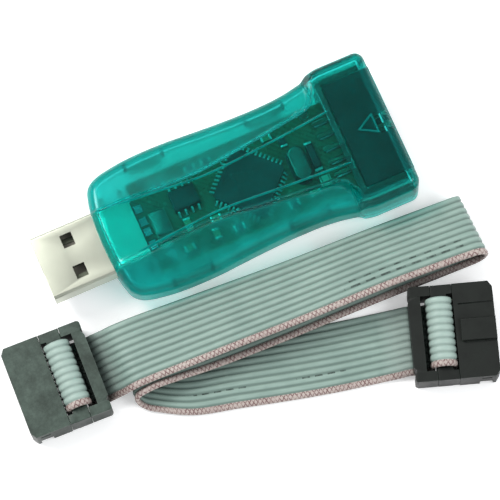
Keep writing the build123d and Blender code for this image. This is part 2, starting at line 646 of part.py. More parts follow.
def strain_clip():
    """Bowed bar across the back, with two rounded arms that snap on the cover's ends."""
    clip = Pos(0, 0, 1.6) * extrude(make_face(Polyline(*CLIP_BAR)), 4.3, dir=(0, 0, 1))
    for side in (1, -1):
        arm = block(11.15, 15.1, side * 6.85, side * SOCK_HALF, 0.55, 5.95)
        arm = fillet(arm.edges().filter_by(Axis.Z).group_by(Axis.X)[-1], 0.6)
        tongue = block(9.2, 11.4, side * 7.3, side * 8.1, 2.0, 4.0)
        clip = clip + arm + tongue
    return clip


def path_frames():
    """Frames along RIBBON_PATH, mitred so that the thickness holds through the bends."""
    points = [Vector(x, 0, z) for x, z in RIBBON_PATH]
    legs = [(b - a).normalized() for a, b in zip(points, points[1:])]
    across = Vector(0, 1, 0)
    frames = []
    for i, point in enumerate(points):
        before, after = legs[max(i - 1, 0)], legs[min(i, len(legs) - 1)]
        mitre = 1.0 / math.sqrt((1 + before.dot(after)) / 2)
        normal = (before + after).normalized().cross(across).normalized() * mitre
        frames.append((point, across, normal))
    return frames


def ribbon_end(frames):
    ribbon = insulation(frames)
    for hole in wire_holes(frames):
        ribbon = ribbon - hole
    # slots where the fork prongs pierce the insulation
    for y, z, wire_y in SOCKET_CONTACTS:
        for side in (-1, 1):
            ribbon = ribbon - block(7.0, 8.8, wire_y + side * (FORK_IN - FORK_CLEAR),
                                    wire_y + side * (FORK_OUT + FORK_CLEAR),
                                    z - 0.44, z + 0.44)
    return biggest(ribbon)


for tag, (sock_x, sock_y, turn), with_key in (("a", SOCK_A, False), ("b", SOCK_B, True)):
    place = Location((sock_x, sock_y, 0), (0, 0, turn))
    end_frames = path_frames()
    pieces = {
        "housing": socket_housing(with_key),
        "contacts": group([socket_contact(*spot) for spot in SOCKET_CONTACTS]),
        "cover": socket_cover(),
        "strain_clip": strain_clip(),
        "ribbon_end": ribbon_end(end_frames),
        "wire_ends": group(wire_bars(end_frames)),
    }
    for name, piece in pieces.items():
        save("socket_" + tag + "_" + name, group([s.moved(place) for s in piece.solids()]))
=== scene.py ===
"""A USB programmer in a translucent teal case, with a flat ribbon cable and two sockets.

The case lies flat with its length along x: the plug end is at -x, the header end at +x.
Beside it, on the -y side, the cable runs from socket a, at -x, back and forth along x in
three stacked runs (upper, middle, lower) to socket b. "Far" is the +y edge of the cable
and "near" its -y edge. Shapes are in millimetres and are scaled to metres when a mesh is
made; shader coordinates and distances are in metres.
"""
import bmesh
import bpy
import json
import math
import random
import numpy as np
from mathutils import Matrix, Vector
from mathutils.geometry import delaunay_2d_cdt


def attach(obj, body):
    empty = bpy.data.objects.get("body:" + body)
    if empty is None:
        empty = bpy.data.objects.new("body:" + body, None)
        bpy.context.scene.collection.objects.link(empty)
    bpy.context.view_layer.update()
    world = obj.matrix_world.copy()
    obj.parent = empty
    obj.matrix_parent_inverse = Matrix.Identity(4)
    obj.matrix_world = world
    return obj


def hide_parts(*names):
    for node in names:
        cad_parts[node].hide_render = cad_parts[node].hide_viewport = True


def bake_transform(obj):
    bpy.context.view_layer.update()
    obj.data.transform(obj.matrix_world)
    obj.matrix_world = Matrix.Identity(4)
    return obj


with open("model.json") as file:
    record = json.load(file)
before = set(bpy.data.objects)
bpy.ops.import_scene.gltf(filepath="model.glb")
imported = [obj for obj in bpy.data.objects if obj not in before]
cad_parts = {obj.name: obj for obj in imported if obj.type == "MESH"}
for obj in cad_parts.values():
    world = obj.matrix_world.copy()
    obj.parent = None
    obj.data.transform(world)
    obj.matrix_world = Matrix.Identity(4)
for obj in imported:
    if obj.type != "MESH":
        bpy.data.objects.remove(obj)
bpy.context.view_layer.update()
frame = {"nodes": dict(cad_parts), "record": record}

random.seed(7)
MILLI = 0.001

# ---------------------------------------------------------------- case dimensions, mm
# Half-width of the clear spine: (x, y)
SPINE = [(-30.0, 5.2), (-22.0, 5.1), (-14.0, 4.6), (-7.0, 4.6), (0.0, 5.4), (6.0, 6.1),
         (12.0, 6.8), (18.5, 7.6)]
SPINE_MAX = 10.0          # half-width at the top of the shader's curve
# Raised lines along the top shell: (x, distance from the middle)
RIDGE = [(-23.0, 4.75), (-14.0, 4.0), (-7.0, 3.5), (0.0, 3.8), (6.0, 4.25), (12.0, 4.7),
         (18.3, 5.2)]
# Far side of the outline, from the plug end to the straight by the header: (x, y)
SIDE = [(-28.2, 0.0), (-28.12, 3.0), (-27.85, 6.2), (-27.35, 8.6), (-26.75, 10.2),
        (-25.6, 11.3), (-23.9, 12.0), (-21.8, 12.4), (-19.6, 12.72), (-17.4, 12.88),
        (-15.3, 12.95), (-13.1, 12.95), (-10.0, 12.85), (-6.7, 12.6), (-3.5, 12.38),
        (0.0, 12.18), (3.5, 12.05), (7.0, 12.03), (10.0, 12.15), (12.7, 12.45),
        (15.0, 12.88), (17.2, 13.36), (19.4, 13.75)]
# Height of the top shell along its spine: (x, z)
ROOF = [(-30.0, 10.7), (-24.0, 11.15), (-16.0, 11.15), (-8.0, 10.95), (0.0, 10.85),
        (8.0, 10.95), (14.0, 11.45), (18.0, 11.95)]
OUTLINE_STEP = 0.45
HEADER_END_X = 28.2
HEADER_HALF_WIDTH = SIDE[-1][1]
HEADER_CORNER = 1.8       # corner radius at the header end
SPLIT_Z = 6.0             # parting plane
CASE_HEIGHT = 12.0
SCOOP_END_X = 16.9        # where the finger scoops stop, short of the header block
SCOOP_CORNER = 3.0
PLUG_WINDOW = 6.08        # half-widths of the openings in the two ends
HEADER_WINDOW = 10.25
# Each half as if its roof were up. Scoop height at its inner and outer side, and height
# of the wall's edge over the plug and over the header.
HALVES = {
    "top": dict(scoop_in=10.45, scoop_out=8.9, plug_edge=8.73, header_edge=10.53),
    "bottom": dict(scoop_in=11.0, scoop_out=9.3, plug_edge=CASE_HEIGHT - 4.07,
                   header_edge=CASE_HEIGHT - 1.47),
}

# --------------------------------------------------------------- ribbon dimensions, mm
WIRE_COUNT = 10
RIBBON_WIDTH = 12.7
HALF_RIBBON = RIBBON_WIDTH / 2
WIRE_PITCH = RIBBON_WIDTH / WIRE_COUNT


# ------------------------------------------------------------------ shader helpers
def linear(color):
    """8-bit display colour to linear, with alpha."""
    out = []
    for v in color:
        v = v / 255.0
        out.append(v / 12.92 if v <= 0.04045 else ((v + 0.055) / 1.055) ** 2.4)
    return tuple(out) + (1.0,)


def make_node(tree, kind, inputs=None, **properties):
    """Adds a node. Each input takes a plain value or a socket to link from."""
    node = tree.nodes.new(kind)
    for name, value in properties.items():
        setattr(node, name, value)
    fill(tree, node, inputs or {})
    return node


def fill(tree, node, inputs):
    for key, value in inputs.items():
        if isinstance(value, (int, float, tuple)):
            node.inputs[key].default_value = value
        else:
            tree.links.new(value, node.inputs[key])


class Graph:
    """A material and short ways to add to its node tree."""

    def __init__(self, name):
        self.material = bpy.data.materials.new(name)
        self.material.use_nodes = True
        self.tree = self.material.node_tree
        self.coord = self.node("ShaderNodeTexCoord").outputs["Object"]

    def node(self, kind, inputs=None, **properties):
        return make_node(self.tree, kind, inputs, **properties)

    def shade(self, inputs):
        """Fills inputs of the Principled shader."""
        fill(self.tree, self.tree.nodes["Principled BSDF"], inputs)

    def xyz(self, vector):
        return self.node("ShaderNodeSeparateXYZ", {0: vector}).outputs

    def normal_z(self):
        return self.xyz(self.node("ShaderNodeNewGeometry").outputs["Normal"])[2]

    def noise(self, scale, detail=4.0, rough=0.6, coord=None, stretch=None):
        coord = coord or self.coord
        if stretch:
            coord = self.node("ShaderNodeMapping",
                              {"Scale": stretch, "Vector": coord}).outputs["Vector"]
        return self.node("ShaderNodeTexNoise", {
            "Scale": scale, "Detail": detail, "Roughness": rough,
            "Vector": coord}).outputs["Fac"]

    def math(self, operation, a, b=0.0, clamp=False):
        return self.node("ShaderNodeMath", {0: a, 1: b},
                         operation=operation, use_clamp=clamp).outputs[0]

    def times(self, a, b):
        return self.math("MULTIPLY", a, b)

    def plus(self, a, b):
        return self.math("ADD", a, b)

    def highest(self, a, b):
        return self.math("MAXIMUM", a, b)

    def remap(self, value, src, dst=(0.0, 1.0), smooth=False):
        """Clamped map from the range src to the range dst."""
        return self.node("ShaderNodeMapRange", {
            "Value": value, "From Min": src[0], "From Max": src[1],
            "To Min": dst[0], "To Max": dst[1]}, clamp=True,
            interpolation_type="SMOOTHSTEP" if smooth else "LINEAR").outputs["Result"]

    def spread(self, noise, dst=(0.0, 1.0)):
        """Stretches the middle of a noise, where most of it lies, over dst."""
        return self.remap(noise, src=(0.3, 0.7), dst=dst)

    def mix(self, factor, a, b):
        return self.node("ShaderNodeMix", {"Factor": factor, 6: a, 7: b},
                         data_type="RGBA").outputs[2]

    def mix_shader(self, factor, a, b):
        return self.node("ShaderNodeMixShader", {0: factor, 1: a, 2: b}).outputs[0]

    def bump(self, height, strength, distance=0.00002):
        return self.node("ShaderNodeBump", {
            "Strength": strength, "Distance": distance,
            "Height": height}).outputs["Normal"]

    def edges(self, radius):
        """1 on sharp edges, 0 on open faces."""
        bevel = self.node("ShaderNodeBevel", {"Radius": radius}, samples=4)
        geometry = self.node("ShaderNodeNewGeometry")
        dot = self.node("ShaderNodeVectorMath", {
            0: bevel.outputs["Normal"], 1: geometry.outputs["Normal"]},
            operation="DOT_PRODUCT")
        return self.remap(dot.outputs["Value"], src=(0.995, 0.86))


# ------------------------------------------------------------------ plain materials
def surface(name, color, rough=0.5, rough_range=0.08, color_range=0.12, metallic=0.0,
            specular=0.5, grain=2500, grain_strength=0.15, scratches=0.0, wear=0.0,
            wear_color=None, coat=0.0, blotch=220, dust_and_sheen=None):
    """Blotchy, grained surface. grain and blotch are noise scales."""
    g = Graph(name)
    base = linear(color)
    dark = tuple(v * (1 - color_range) for v in base[:3]) + (1,)
    light = tuple(min(1, v * (1 + color_range)) for v in base[:3]) + (1,)
    blotches = g.noise(blotch, detail=5)
    height = grains = g.noise(grain, detail=3)
    col = g.mix(g.spread(blotches), dark, light)
    roughness = g.spread(blotches, dst=(rough - rough_range, rough + rough_range))
    if dust_and_sheen:
        # handled look: faces that point up are made lighter in patches, partly dust and partly
        # painted sheen
        up = g.remap(g.normal_z(), src=(0.55, 1.0), smooth=True)
        patches = g.remap(g.noise(300, detail=6, rough=0.72), src=(0.34, 0.66), dst=(0.25, 1.0))
        specks = g.remap(g.noise(2100, detail=4, rough=0.7), src=(0.35, 0.75),
                         dst=(0.75, 1.15))
        amount = g.math("MULTIPLY", up, g.times(patches, specks), clamp=True)
        col = g.mix(amount, col, linear(dust_and_sheen))
    if scratches:
        along_x = g.noise(420, detail=2, rough=0.5, stretch=(1.0, 26.0, 26.0))
        along_y = g.noise(520, detail=2, rough=0.5, stretch=(22.0, 1.3, 22.0))
        line = g.highest(g.remap(along_x, src=(0.66, 0.70)), g.remap(along_y, src=(0.67, 0.71)))
        roughness = g.plus(roughness, g.times(line, scratches))
        height = g.math("SUBTRACT", grains, g.times(line, scratches * 2))
    if wear:
        worn = g.times(g.edges(radius=0.00018),
                       g.remap(blotches, src=(0.35, 0.65), dst=(0.25, 1.0)))
        bare = linear(wear_color or tuple(min(255, v + 60) for v in color))
        col = g.mix(g.times(worn, wear), col, bare)
        roughness = g.plus(roughness, g.times(worn, -0.08))     # worn edges are smoother
    g.shade({"Base Color": col, "Roughness": roughness, "Metallic": metallic,
             "Specular IOR Level": specular, "Coat Weight": coat,
             "Normal": g.bump(height, grain_strength)})
    return g.material


SURFACES = {
    "nickel_plate": dict(
        color=(192, 196, 181), rough=0.34, rough_range=0.04, color_range=0.04,
        metallic=1.0, grain=6500, grain_strength=0.10, scratches=0.05, wear=0.2,
        wear_color=(245, 245, 236), blotch=60),
    # the plug's insulator is white and its contacts gold: both are painted darker and duller,
    # as painted shade inside the plug's windows
    "pale_insulator": dict(color=(120, 118, 106), rough=0.5, wear=0.1),
    "gold_plate": dict(
        color=(104, 110, 96), rough=0.36, metallic=1.0, color_range=0.08, scratches=0.15),
    "chip_epoxy": dict(
        color=(24, 25, 26), rough=0.55, rough_range=0.1, color_range=0.2, grain=5200,
        grain_strength=0.35, wear=0.2, wear_color=(80, 82, 84)),
    "tinned_leads": dict(
        color=(176, 188, 184), rough=0.38, metallic=0.4, color_range=0.1,
        grain_strength=0.2),
    "ceramic_base": dict(color=(128, 112, 92), rough=0.6, color_range=0.15),
    "crystal_can_metal": dict(
        color=(92, 100, 94), rough=0.42, metallic=1.0, scratches=0.2, wear=0.35,
        wear_color=(225, 228, 222)),
    "capacitor_ceramic": dict(color=(150, 126, 92), rough=0.5, color_range=0.15),
    "led_lens": dict(color=(150, 158, 140), rough=0.2, coat=0.6),
    "black_moulding": dict(
        color=(20, 21, 21), rough=0.5, color_range=0.2, grain=4200, grain_strength=0.3,
        wear=0.25, wear_color=(60, 62, 62)),
    "solder": dict(
        color=(206, 210, 212), rough=0.22, rough_range=0.08, metallic=1.0, grain=1500,
        grain_strength=0.3),
    "socket_moulding": dict(
        color=(9, 14, 11), rough=0.55, rough_range=0.10, color_range=0.3, specular=0.3,
        grain=3800, grain_strength=0.3, scratches=0.10, wear=0.4,
        wear_color=(70, 82, 74), blotch=150, dust_and_sheen=(18, 24, 20)),
    # socket a: the same plastic painted lighter, a painted sheen from its angle to the light
    "socket_moulding_a_painted_sheen": dict(
        color=(27, 37, 31), rough=0.48, rough_range=0.12, color_range=0.35,
        specular=0.32, grain=3600, grain_strength=0.3, scratches=0.15, wear=0.5,
        wear_color=(112, 128, 119), blotch=210, dust_and_sheen=(72, 87, 79)),
    "tinned_copper": dict(color=(104, 92, 78), rough=0.45, metallic=1.0),
}


# ------------------------------------------------------------------ special materials
def outside_spine(g, x, y):
    """0 over the spine, 1 beyond its edges."""
    x_start, x_end = SPINE[0][0], SPINE[-1][0]
    along = g.remap(x, src=(x_start * MILLI, x_end * MILLI))
    node = g.node("ShaderNodeFloatCurve", {"Value": along})
    curve = node.mapping.curves[0]
    points = [((sx - x_start) / (x_end - x_start), sy / SPINE_MAX) for sx, sy in SPINE]
    curve.points[0].location = points[0]
    curve.points[1].location = points[-1]
    for point in points[1:-1]:
        curve.points.new(*point)
    node.mapping.update()
    half = g.times(node.outputs["Value"], SPINE_MAX * MILLI)
    beyond = g.math("SUBTRACT", g.math("ABSOLUTE", y), half)
    return g.remap(beyond, src=(0.0, 0.0007), smooth=True)


def shell_material(name):
    """Translucent teal: clear over the spine and the header block, frosted elsewhere."""
    g = Graph(name)
    x, y, _ = g.xyz(g.coord)
    before_header = g.remap(x, src=(0.0156, 0.0172), dst=(1.0, 0.0), smooth=True)
    frost = g.times(outside_spine(g, x, y), before_header)
    rear = g.remap(x, src=(-0.0265, -0.0095), dst=(1.0, 0.0), smooth=True)

    # fine grain, weaker where clear, with long scratches along x
    blotches = g.noise(150, detail=4)
    grain = g.noise(5200, detail=2)
    cloud = g.noise(260, detail=3, rough=0.55)
    streaks = g.noise(300, detail=2, rough=0.5, stretch=(1.0, 34.0, 34.0))
    scratch = g.remap(streaks, src=(0.70, 0.73))
    height = g.plus(g.times(grain, g.remap(frost, src=(0, 1), dst=(0.15, 1.0))),
                    g.times(scratch, -0.6))
    normal = g.bump(height, strength=0.10)

    # shadow and diffuse rays pass straight through
    rays = g.node("ShaderNodeLightPath").outputs
    straight = g.highest(rays["Is Shadow Ray"], rays["Is Diffuse Ray"])

    # the mesh's attribute of painted light: above 0 paints a highlight on an edge, below 0
    # darkens
    painted_glow = g.node("ShaderNodeAttribute", attribute_name="painted_glow").outputs["Fac"]
    edge = g.remap(painted_glow, src=(0.0, 1.0))
    dark = g.remap(painted_glow, src=(-1.0, 0.0), dst=(1.0, 0.0))

    # tints: spine and scoops, then header block, plug end and dark fittings
    tint = g.mix(frost, (0.24, 0.860, 0.835, 1), (0.21, 0.838, 0.808, 1))
    tint = g.mix(g.remap(x, src=(0.0168, 0.0176)), tint, (0.19, 0.815, 0.790, 1))
    tint = g.mix(g.times(rear, 0.75), tint, (0.19, 0.915, 0.905, 1))
    tint = g.mix(dark, tint, (0.02, 0.42, 0.40, 1))
    through = g.node("ShaderNodeBsdfTransparent", {"Color": tint})
    refraction = g.node("ShaderNodeBsdfRefraction", {
        "Color": tint, "IOR": 1.18, "Normal": normal,
        "Roughness": g.remap(frost, src=(0, 1), dst=(0.012, 0.52))})
    clear = g.mix_shader(straight, refraction.outputs[0], through.outputs[0])

    cloudy = g.mix(g.spread(cloud), (0.0, 0.23, 0.215, 1), (0.002, 0.50, 0.475, 1))
    milky = g.node("ShaderNodeBsdfDiffuse", {"Color": cloudy})
    lit = g.node("ShaderNodeBsdfTranslucent", {"Color": (0.0, 0.62, 0.565, 1)})
    body = g.mix_shader(0.45, milky.outputs[0], lit.outputs[0])

    # share of the milky body: more on frost, at both ends and on edges with painted highlights
    share = g.times(g.remap(frost, src=(0, 1), dst=(0.020, 0.20)),
                    g.spread(cloud, dst=(0.7, 1.3)))
    share = g.plus(share, g.times(rear, 0.05))
    share = g.plus(share, g.times(g.remap(x, src=(0.0268, 0.0276)), 0.14))
    share = g.plus(share, g.times(edge, 0.42))
    share = g.times(share, g.remap(straight, src=(0, 1), dst=(1.0, 0.45)))
    inside = g.mix_shader(share, clear, body)

    # gloss, rougher on frost (0.10) and scratches (0.2)
    roughness = g.plus(g.spread(blotches, dst=(0.06, 0.12)), g.times(frost, 0.10))
    gloss = g.node("ShaderNodeBsdfGlossy", {
        "Color": (0.9, 1, 1, 1), "Normal": normal,
        "Roughness": g.plus(roughness, g.times(scratch, 0.2))})
    fresnel = g.node("ShaderNodeFresnel", {"IOR": 1.45, "Normal": normal})
    sheen = g.times(fresnel.outputs[0], g.remap(straight, src=(0, 1), dst=(0.6, 0.0)))
    sheen = g.times(sheen, g.remap(edge, src=(0.6, 1.0), dst=(1.0, 0.3)))
    top = g.mix_shader(sheen, inside, gloss.outputs[0])
    fill(g.tree, g.tree.nodes["Material Output"], {"Surface": top})
    return g.material


def board_material(name):
    """Green solder mask with faint tracks and vias under it, and bare board walls."""
    g = Graph(name)
    blotches = g.noise(200, detail=4)
    turned = g.node("ShaderNodeMapping", {
        "Scale": (140, 140, 1), "Rotation": (0, 0, math.radians(45)),
        "Vector": g.coord}).outputs["Vector"]
    black = (0, 0, 0, 1)
    track = g.node("ShaderNodeTexBrick", {
        "Vector": turned, "Mortar Size": 0.035, "Scale": 1.0, "Brick Width": 0.9,
        "Row Height": 0.11, "Color1": black, "Color2": black,
        "Mortar": (1, 1, 1, 1)}).outputs["Fac"]
    cells = g.node("ShaderNodeTexVoronoi", {"Scale": 330, "Vector": g.coord})
    via = g.remap(cells.outputs["Distance"], src=(0.10, 0.14), dst=(1.0, 0.0))
    col = g.mix(g.spread(blotches), linear((10, 66, 48)), linear((15, 78, 56)))
    col = g.mix(g.times(track, 0.35), col, linear((26, 104, 76)))
    col = g.mix(g.times(via, 0.45), col, linear((96, 128, 104)))
    wall = g.remap(g.math("ABSOLUTE", g.normal_z()), src=(0.4, 0.6), dst=(1.0, 0.0))
    col = g.mix(wall, col, linear((168, 158, 110)))
    g.shade({"Base Color": col, "Roughness": g.spread(blotches, dst=(0.22, 0.38)),
             "Normal": g.bump(g.plus(track, via), strength=0.12, distance=0.00001)})
    return g.material


def ribbon_material(name, length, ink_rows):
    """Grey-green flat cable. One edge wire is pink with a red cross-hatch, and the face on
    the attribute's +1 side has ink dashes."""
    g = Graph(name)
    place = g.node("ShaderNodeAttribute", attribute_name="rib").outputs["Vector"]
    along, across, side = g.xyz(place)          # mm, mm, +1 or -1
    blotches = g.noise(140, detail=5)
    grain = g.noise(3000, detail=3)

    def off_middle(coord, period, shift):
        """Distance from the middle of each period, 0 to 0.5."""
        turn = g.math("FRACT", g.plus(g.math("DIVIDE", coord, period), shift))
        return g.math("ABSOLUTE", g.math("SUBTRACT", turn, 0.5))

    # soft marks drawn out along the wires
    stretched = g.node("ShaderNodeCombineXYZ",
                       {0: g.times(along, 0.25), 1: g.times(across, 3.0)}).outputs[0]
    streaks = g.noise(1.0, detail=3, coord=stretched)
    base = g.mix(g.spread(blotches), linear((128, 150, 142)), linear((143, 165, 156)))
    base = g.mix(g.remap(streaks, src=(0.35, 0.65), dst=(0.0, 0.40)), base,
                 linear((112, 136, 128)))
    # painted shade: the valleys between wires are darker
    valley = g.remap(off_middle(across, WIRE_PITCH, 0.0), src=(0.13, 0.5), smooth=True)
    base = g.mix(g.times(valley, 0.60), base, linear((62, 84, 77)))
    # painted light: the loops over the sockets face the light, so they are painted paler
    ends = g.highest(g.remap(along, src=(21.0, 24.0), dst=(1.0, 0.0)),
                     g.remap(along, src=(length - 24.0, length - 21.0)))
    base = g.mix(g.times(ends, 0.30), base, linear((188, 206, 199)))

    # the marked wire, with two crossing zigzags
    marked = g.remap(across, src=(-5.22, -5.10), dst=(1.0, 0.0))
    pink = g.mix(g.spread(blotches), linear((160, 147, 142)), linear((178, 168, 161)))
    in_wire = g.remap(across, src=(-HALF_RIBBON, WIRE_PITCH - HALF_RIBBON))

    def zigzag(shift):
        wave = g.times(off_middle(along, 1.55, shift), 2.0)
        gap = g.math("ABSOLUTE", g.math("SUBTRACT", in_wire, wave))
        return g.remap(gap, src=(0.08, 0.2), dst=(1.0, 0.0))

    patchy = g.remap(g.noise(1500, detail=3, rough=0.7), src=(0.38, 0.56), dst=(0.15, 1.0))
    hatch = g.times(g.highest(zigzag(0.0), zigzag(0.5)), patchy)
    pink = g.mix(hatch, pink, linear((104, 74, 74)))
    col = g.mix(marked, base, pink)

    def between(value, low, high):
        return g.times(g.math("GREATER_THAN", value, low), g.math("LESS_THAN", value, high))

    def dashes(start, end, low, high, period, duty):
        area = g.times(between(along, start, end), between(across, low, high))
        turn = g.math("FRACT", g.math("DIVIDE", along, period))
        return g.times(area, g.math("LESS_THAN", turn, duty))

    ink = dashes(*ink_rows[0])
    for row in ink_rows[1:]:
        ink = g.highest(ink, dashes(*row))
    ink = g.times(ink, g.remap(g.noise(1600, detail=2), src=(0.35, 0.6), dst=(0.35, 0.85)))
    ink = g.times(ink, g.math("GREATER_THAN", side, 0.5))
    col = g.mix(ink, col, linear((34, 48, 44)))

    # painted shade where the runs close on each other
    occlusion = g.node("ShaderNodeAmbientOcclusion", {"Distance": 0.007}, samples=6)
    is_open = g.remap(occlusion.outputs["AO"], src=(0.05, 0.85), smooth=True)
    col = g.mix(is_open, g.mix(0.78, col, linear((26, 34, 30))), col)
    g.shade({"Base Color": col, "Roughness": g.spread(blotches, dst=(0.42, 0.58)),
             "Specular IOR Level": 0.4, "Subsurface Weight": 0.08,
             "Subsurface Radius": (0.0006, 0.0006, 0.0005),
             "Normal": g.bump(grain, strength=0.12)})
    return g.material


materials = {"tinted_shell": shell_material("tinted_shell_mat")}
for key, look in SURFACES.items():
    materials[key] = surface(key + "_mat", **look)
materials["board_laminate"] = board_material("board_laminate_mat")

# ------------------------------------------------------------------ the CAD pieces
# Bevel width in mm, and the pieces that have it
BEVELS = {
    0.04: "header_pins usb_contacts",
    0.05: "chip_resistors chip_end_caps",
    0.06: "circuit_board protection_diode_body protection_diode_ends",
    0.08: "microcontroller_body regulator_body chip_capacitors",
    0.10: "usb_plug_insulator indicator_leds",
    0.12: "header_shroud solder_joints",
    0.14: "socket_a_cover socket_b_cover",
    0.18: "socket_a_housing socket_b_housing",
    0.22: "socket_a_strain_clip socket_b_strain_clip",
}
bevel_of = {piece: width for width, pieces in BEVELS.items() for piece in pieces.split()}


def dress(piece, material, bevel_width):
    """Gives a CAD piece its material, smooth shading and bevelled edges."""
    piece.data.materials.clear()
    piece.data.materials.append(material)
    for polygon in piece.data.polygons:
        polygon.material_index = 0
        polygon.use_smooth = True
    weld = piece.modifiers.new("weld", "WELD")
    weld.merge_threshold = 2e-6
    if bevel_width:
        bevel = piece.modifiers.new("bevel", "BEVEL")
        bevel.width = bevel_width
        bevel.segments = 2
        bevel.limit_method = "ANGLE"
        bevel.angle_limit = math.radians(30)
        bevel.harden_normals = False
        bevel.use_clamp_overlap = True
    normals = piece.modifiers.new("wn", "WEIGHTED_NORMAL")
    normals.keep_sharp = True
    normals.weight = 50


slots = {part["node"]: part["material_slot"] for part in frame["record"]["subparts"]}
for name, piece in frame["nodes"].items():
    key = slots.get(name, "black_moulding")
    # socket a gets the lighter copy of the socket plastic, which paints its sheen
    if name.startswith("socket_a_") and key == "socket_moulding":
        key = "socket_moulding_a_painted_sheen"
    if key in materials:
        dress(piece, materials[key], bevel_of.get(name, 0.0) * MILLI)


# ------------------------------------------------------------------ case surface
def hermite(t):
    """Weights of start point, start slope, end point and end slope."""
    return 2*t**3 - 3*t**2 + 1, t**3 - 2*t**2 + t, -2*t**3 + 3*t**2, t**3 - t**2


def curve_table(points, count=400):
    """Smooth curve through (x, y) points, as a dense table for np.interp."""
    xs, ys = np.array(points, float).T
    slope = np.gradient(ys, xs)
    dense = np.linspace(xs[0], xs[-1], count)
    i = np.clip(np.searchsorted(xs, dense) - 1, 0, len(xs) - 2)
    gap = xs[i + 1] - xs[i]
    start, start_slope, end, end_slope = hermite((dense - xs[i]) / gap)
    return dense, (start * ys[i] + start_slope * gap * slope[i]
                   + end * ys[i + 1] + end_slope * gap * slope[i + 1])


ROOF_CURVE = curve_table(ROOF)
SPINE_CURVE = curve_table(SPINE)
RIDGE_CURVE = curve_table(RIDGE)


def scoop_flare(y):
    """How much further towards the header a scoop reaches near its outer side."""
    return 0.25 * np.maximum(0.0, np.abs(y) - 9.0)


def scoop_step(x, y, half):
    """Roof height, drop to the scoop, distance into the scoop and width of the step."""
    out = np.abs(y)
    if half == "top":
        roof = np.interp(x, *ROOF_CURVE)
    else:
        roof = np.full_like(x, CASE_HEIGHT)
    inner, outer = HALVES[half]["scoop_in"], HALVES[half]["scoop_out"]
    t = np.clip((out - 3.2) / (13.5 - 3.2), 0, 1.1)
    floor = inner + (outer - inner) * t + 0.15 * 4 * t * (1 - t)
    floor = np.minimum(floor, roof - 0.02)
    side = out - np.interp(x, *SPINE_CURVE)
    end = SCOOP_END_X + scoop_flare(y) - x
    in_corner = (side < SCOOP_CORNER) & (end < SCOOP_CORNER)
    rounded = SCOOP_CORNER - np.hypot(SCOOP_CORNER - side, SCOOP_CORNER - end)
    inward = np.where(in_corner, rounded, np.minimum(side, end))
    drop = roof - floor
    return roof, drop, inward, 0.3 + 0.36 * drop


def case_height(x, y, half):
    """Outer height of a half with its roof up, before the rim is rounded."""
    roof, drop, inward, width = scoop_step(x, y, half)
    u = np.clip(inward / width, 0, 1)
    # nearly straight side with softly rounded top and foot
    u = 0.75 * u + 0.25 * u * u * (3 - 2 * u)
    # a low bead runs along the top of the step
    bead = 0.13 * np.exp(-((inward + 0.10) / 0.22) ** 2)
    return roof - drop * u + bead


def step_glow(x, y, half):
    """Painted highlight on the bead and on the foot of the step."""
    _, _, inward, width = scoop_step(x, y, half)
    bead = 0.75 * np.exp(-((inward + 0.10) / 0.16) ** 2)
    foot = 0.45 * np.exp(-((inward - width) / 0.2) ** 2)
    return np.clip(bead + foot, 0, 1)


def case_outline():
    """Closed outline, anticlockwise from above."""
    side = np.array(SIDE, float)
    before = np.array([side[1][0], -side[1][1]])
    after = np.array([21.0, HEADER_HALF_WIDTH])
    points = []
    for i in range(len(side) - 1):
        p0 = side[i - 1] if i else before
        p1, p2 = side[i], side[i + 1]
        p3 = side[i + 2] if i < len(side) - 2 else after
        count = max(2, int(np.linalg.norm(p2 - p1) / OUTLINE_STEP))
        for k in range(count):
            t = k / count
            points.append(0.5 * ((2*p1) + (-p0+p2)*t + (2*p0-5*p1+4*p2-p3)*t*t
                                 + (-p0+3*p1-3*p2+p3)*t**3))
    for x in np.arange(SIDE[-1][0], 26.3, OUTLINE_STEP):
        points.append(np.array([x, HEADER_HALF_WIDTH]))
    for angle in np.radians(np.linspace(90, 0, 13)):
        points.append(np.array([
            HEADER_END_X - HEADER_CORNER + HEADER_CORNER * math.cos(angle),
            HEADER_HALF_WIDTH - HEADER_CORNER + HEADER_CORNER * math.sin(angle)]))
    for y in np.arange(11.6, 0.0, -OUTLINE_STEP):
        points.append(np.array([HEADER_END_X, y]))
    far = np.array(points)
    near = np.array([[x, -y] for x, y in far[::-1] if y > 1e-6])
    return np.vstack([far, near])[::-1]


def with_window(points, at_end, half_width):
    """Adds close pairs of points where a window's edges cross the outline, so that its
    sides are upright."""
    out = []
    for i, a in enumerate(points):
        b = points[(i + 1) % len(points)]
        out.append(a)
        if not (at_end(a[0]) and at_end(b[0])):
            continue
        for y in (half_width, -half_width):
            if (a[1] - y) * (b[1] - y) < 0:
                for offset in (-0.004, 0.004):
                    y_new = y + offset * (1 if b[1] > a[1] else -1)
                    out.append(a + (b - a) * ((y_new - a[1]) / (b[1] - a[1])))
    return np.array(out)


def outline_normals(outline):
    """Outward normals, lightly smoothed."""
    tangent = np.roll(outline, -1, 0) - np.roll(outline, 1, 0)
    length = np.linalg.norm(tangent, axis=1)
    # close pairs at the windows take their tangent from further off
    wider = np.roll(outline, -2, 0) - np.roll(outline, 2, 0)
    tangent = np.where((length < 0.05)[:, None], wider, tangent)
    tangent /= np.linalg.norm(tangent, axis=1)[:, None]
    normal = np.stack([tangent[:, 1], -tangent[:, 0]], 1)
    normal = (np.roll(normal, 1, 0) + normal * 2 + np.roll(normal, -1, 0)) / 4
    return normal / np.linalg.norm(normal, axis=1)[:, None]


def wall_edge(point, half):
    """Height where the wall starts: the parting plane, or the edge of a window."""
    x, y = point
    if x < -27 and abs(y) < PLUG_WINDOW:
        return HALVES[half]["plug_edge"]
    if x > 25 and abs(y) < HEADER_WINDOW:
        return HALVES[half]["header_edge"]
    return SPLIT_Z + 0.02


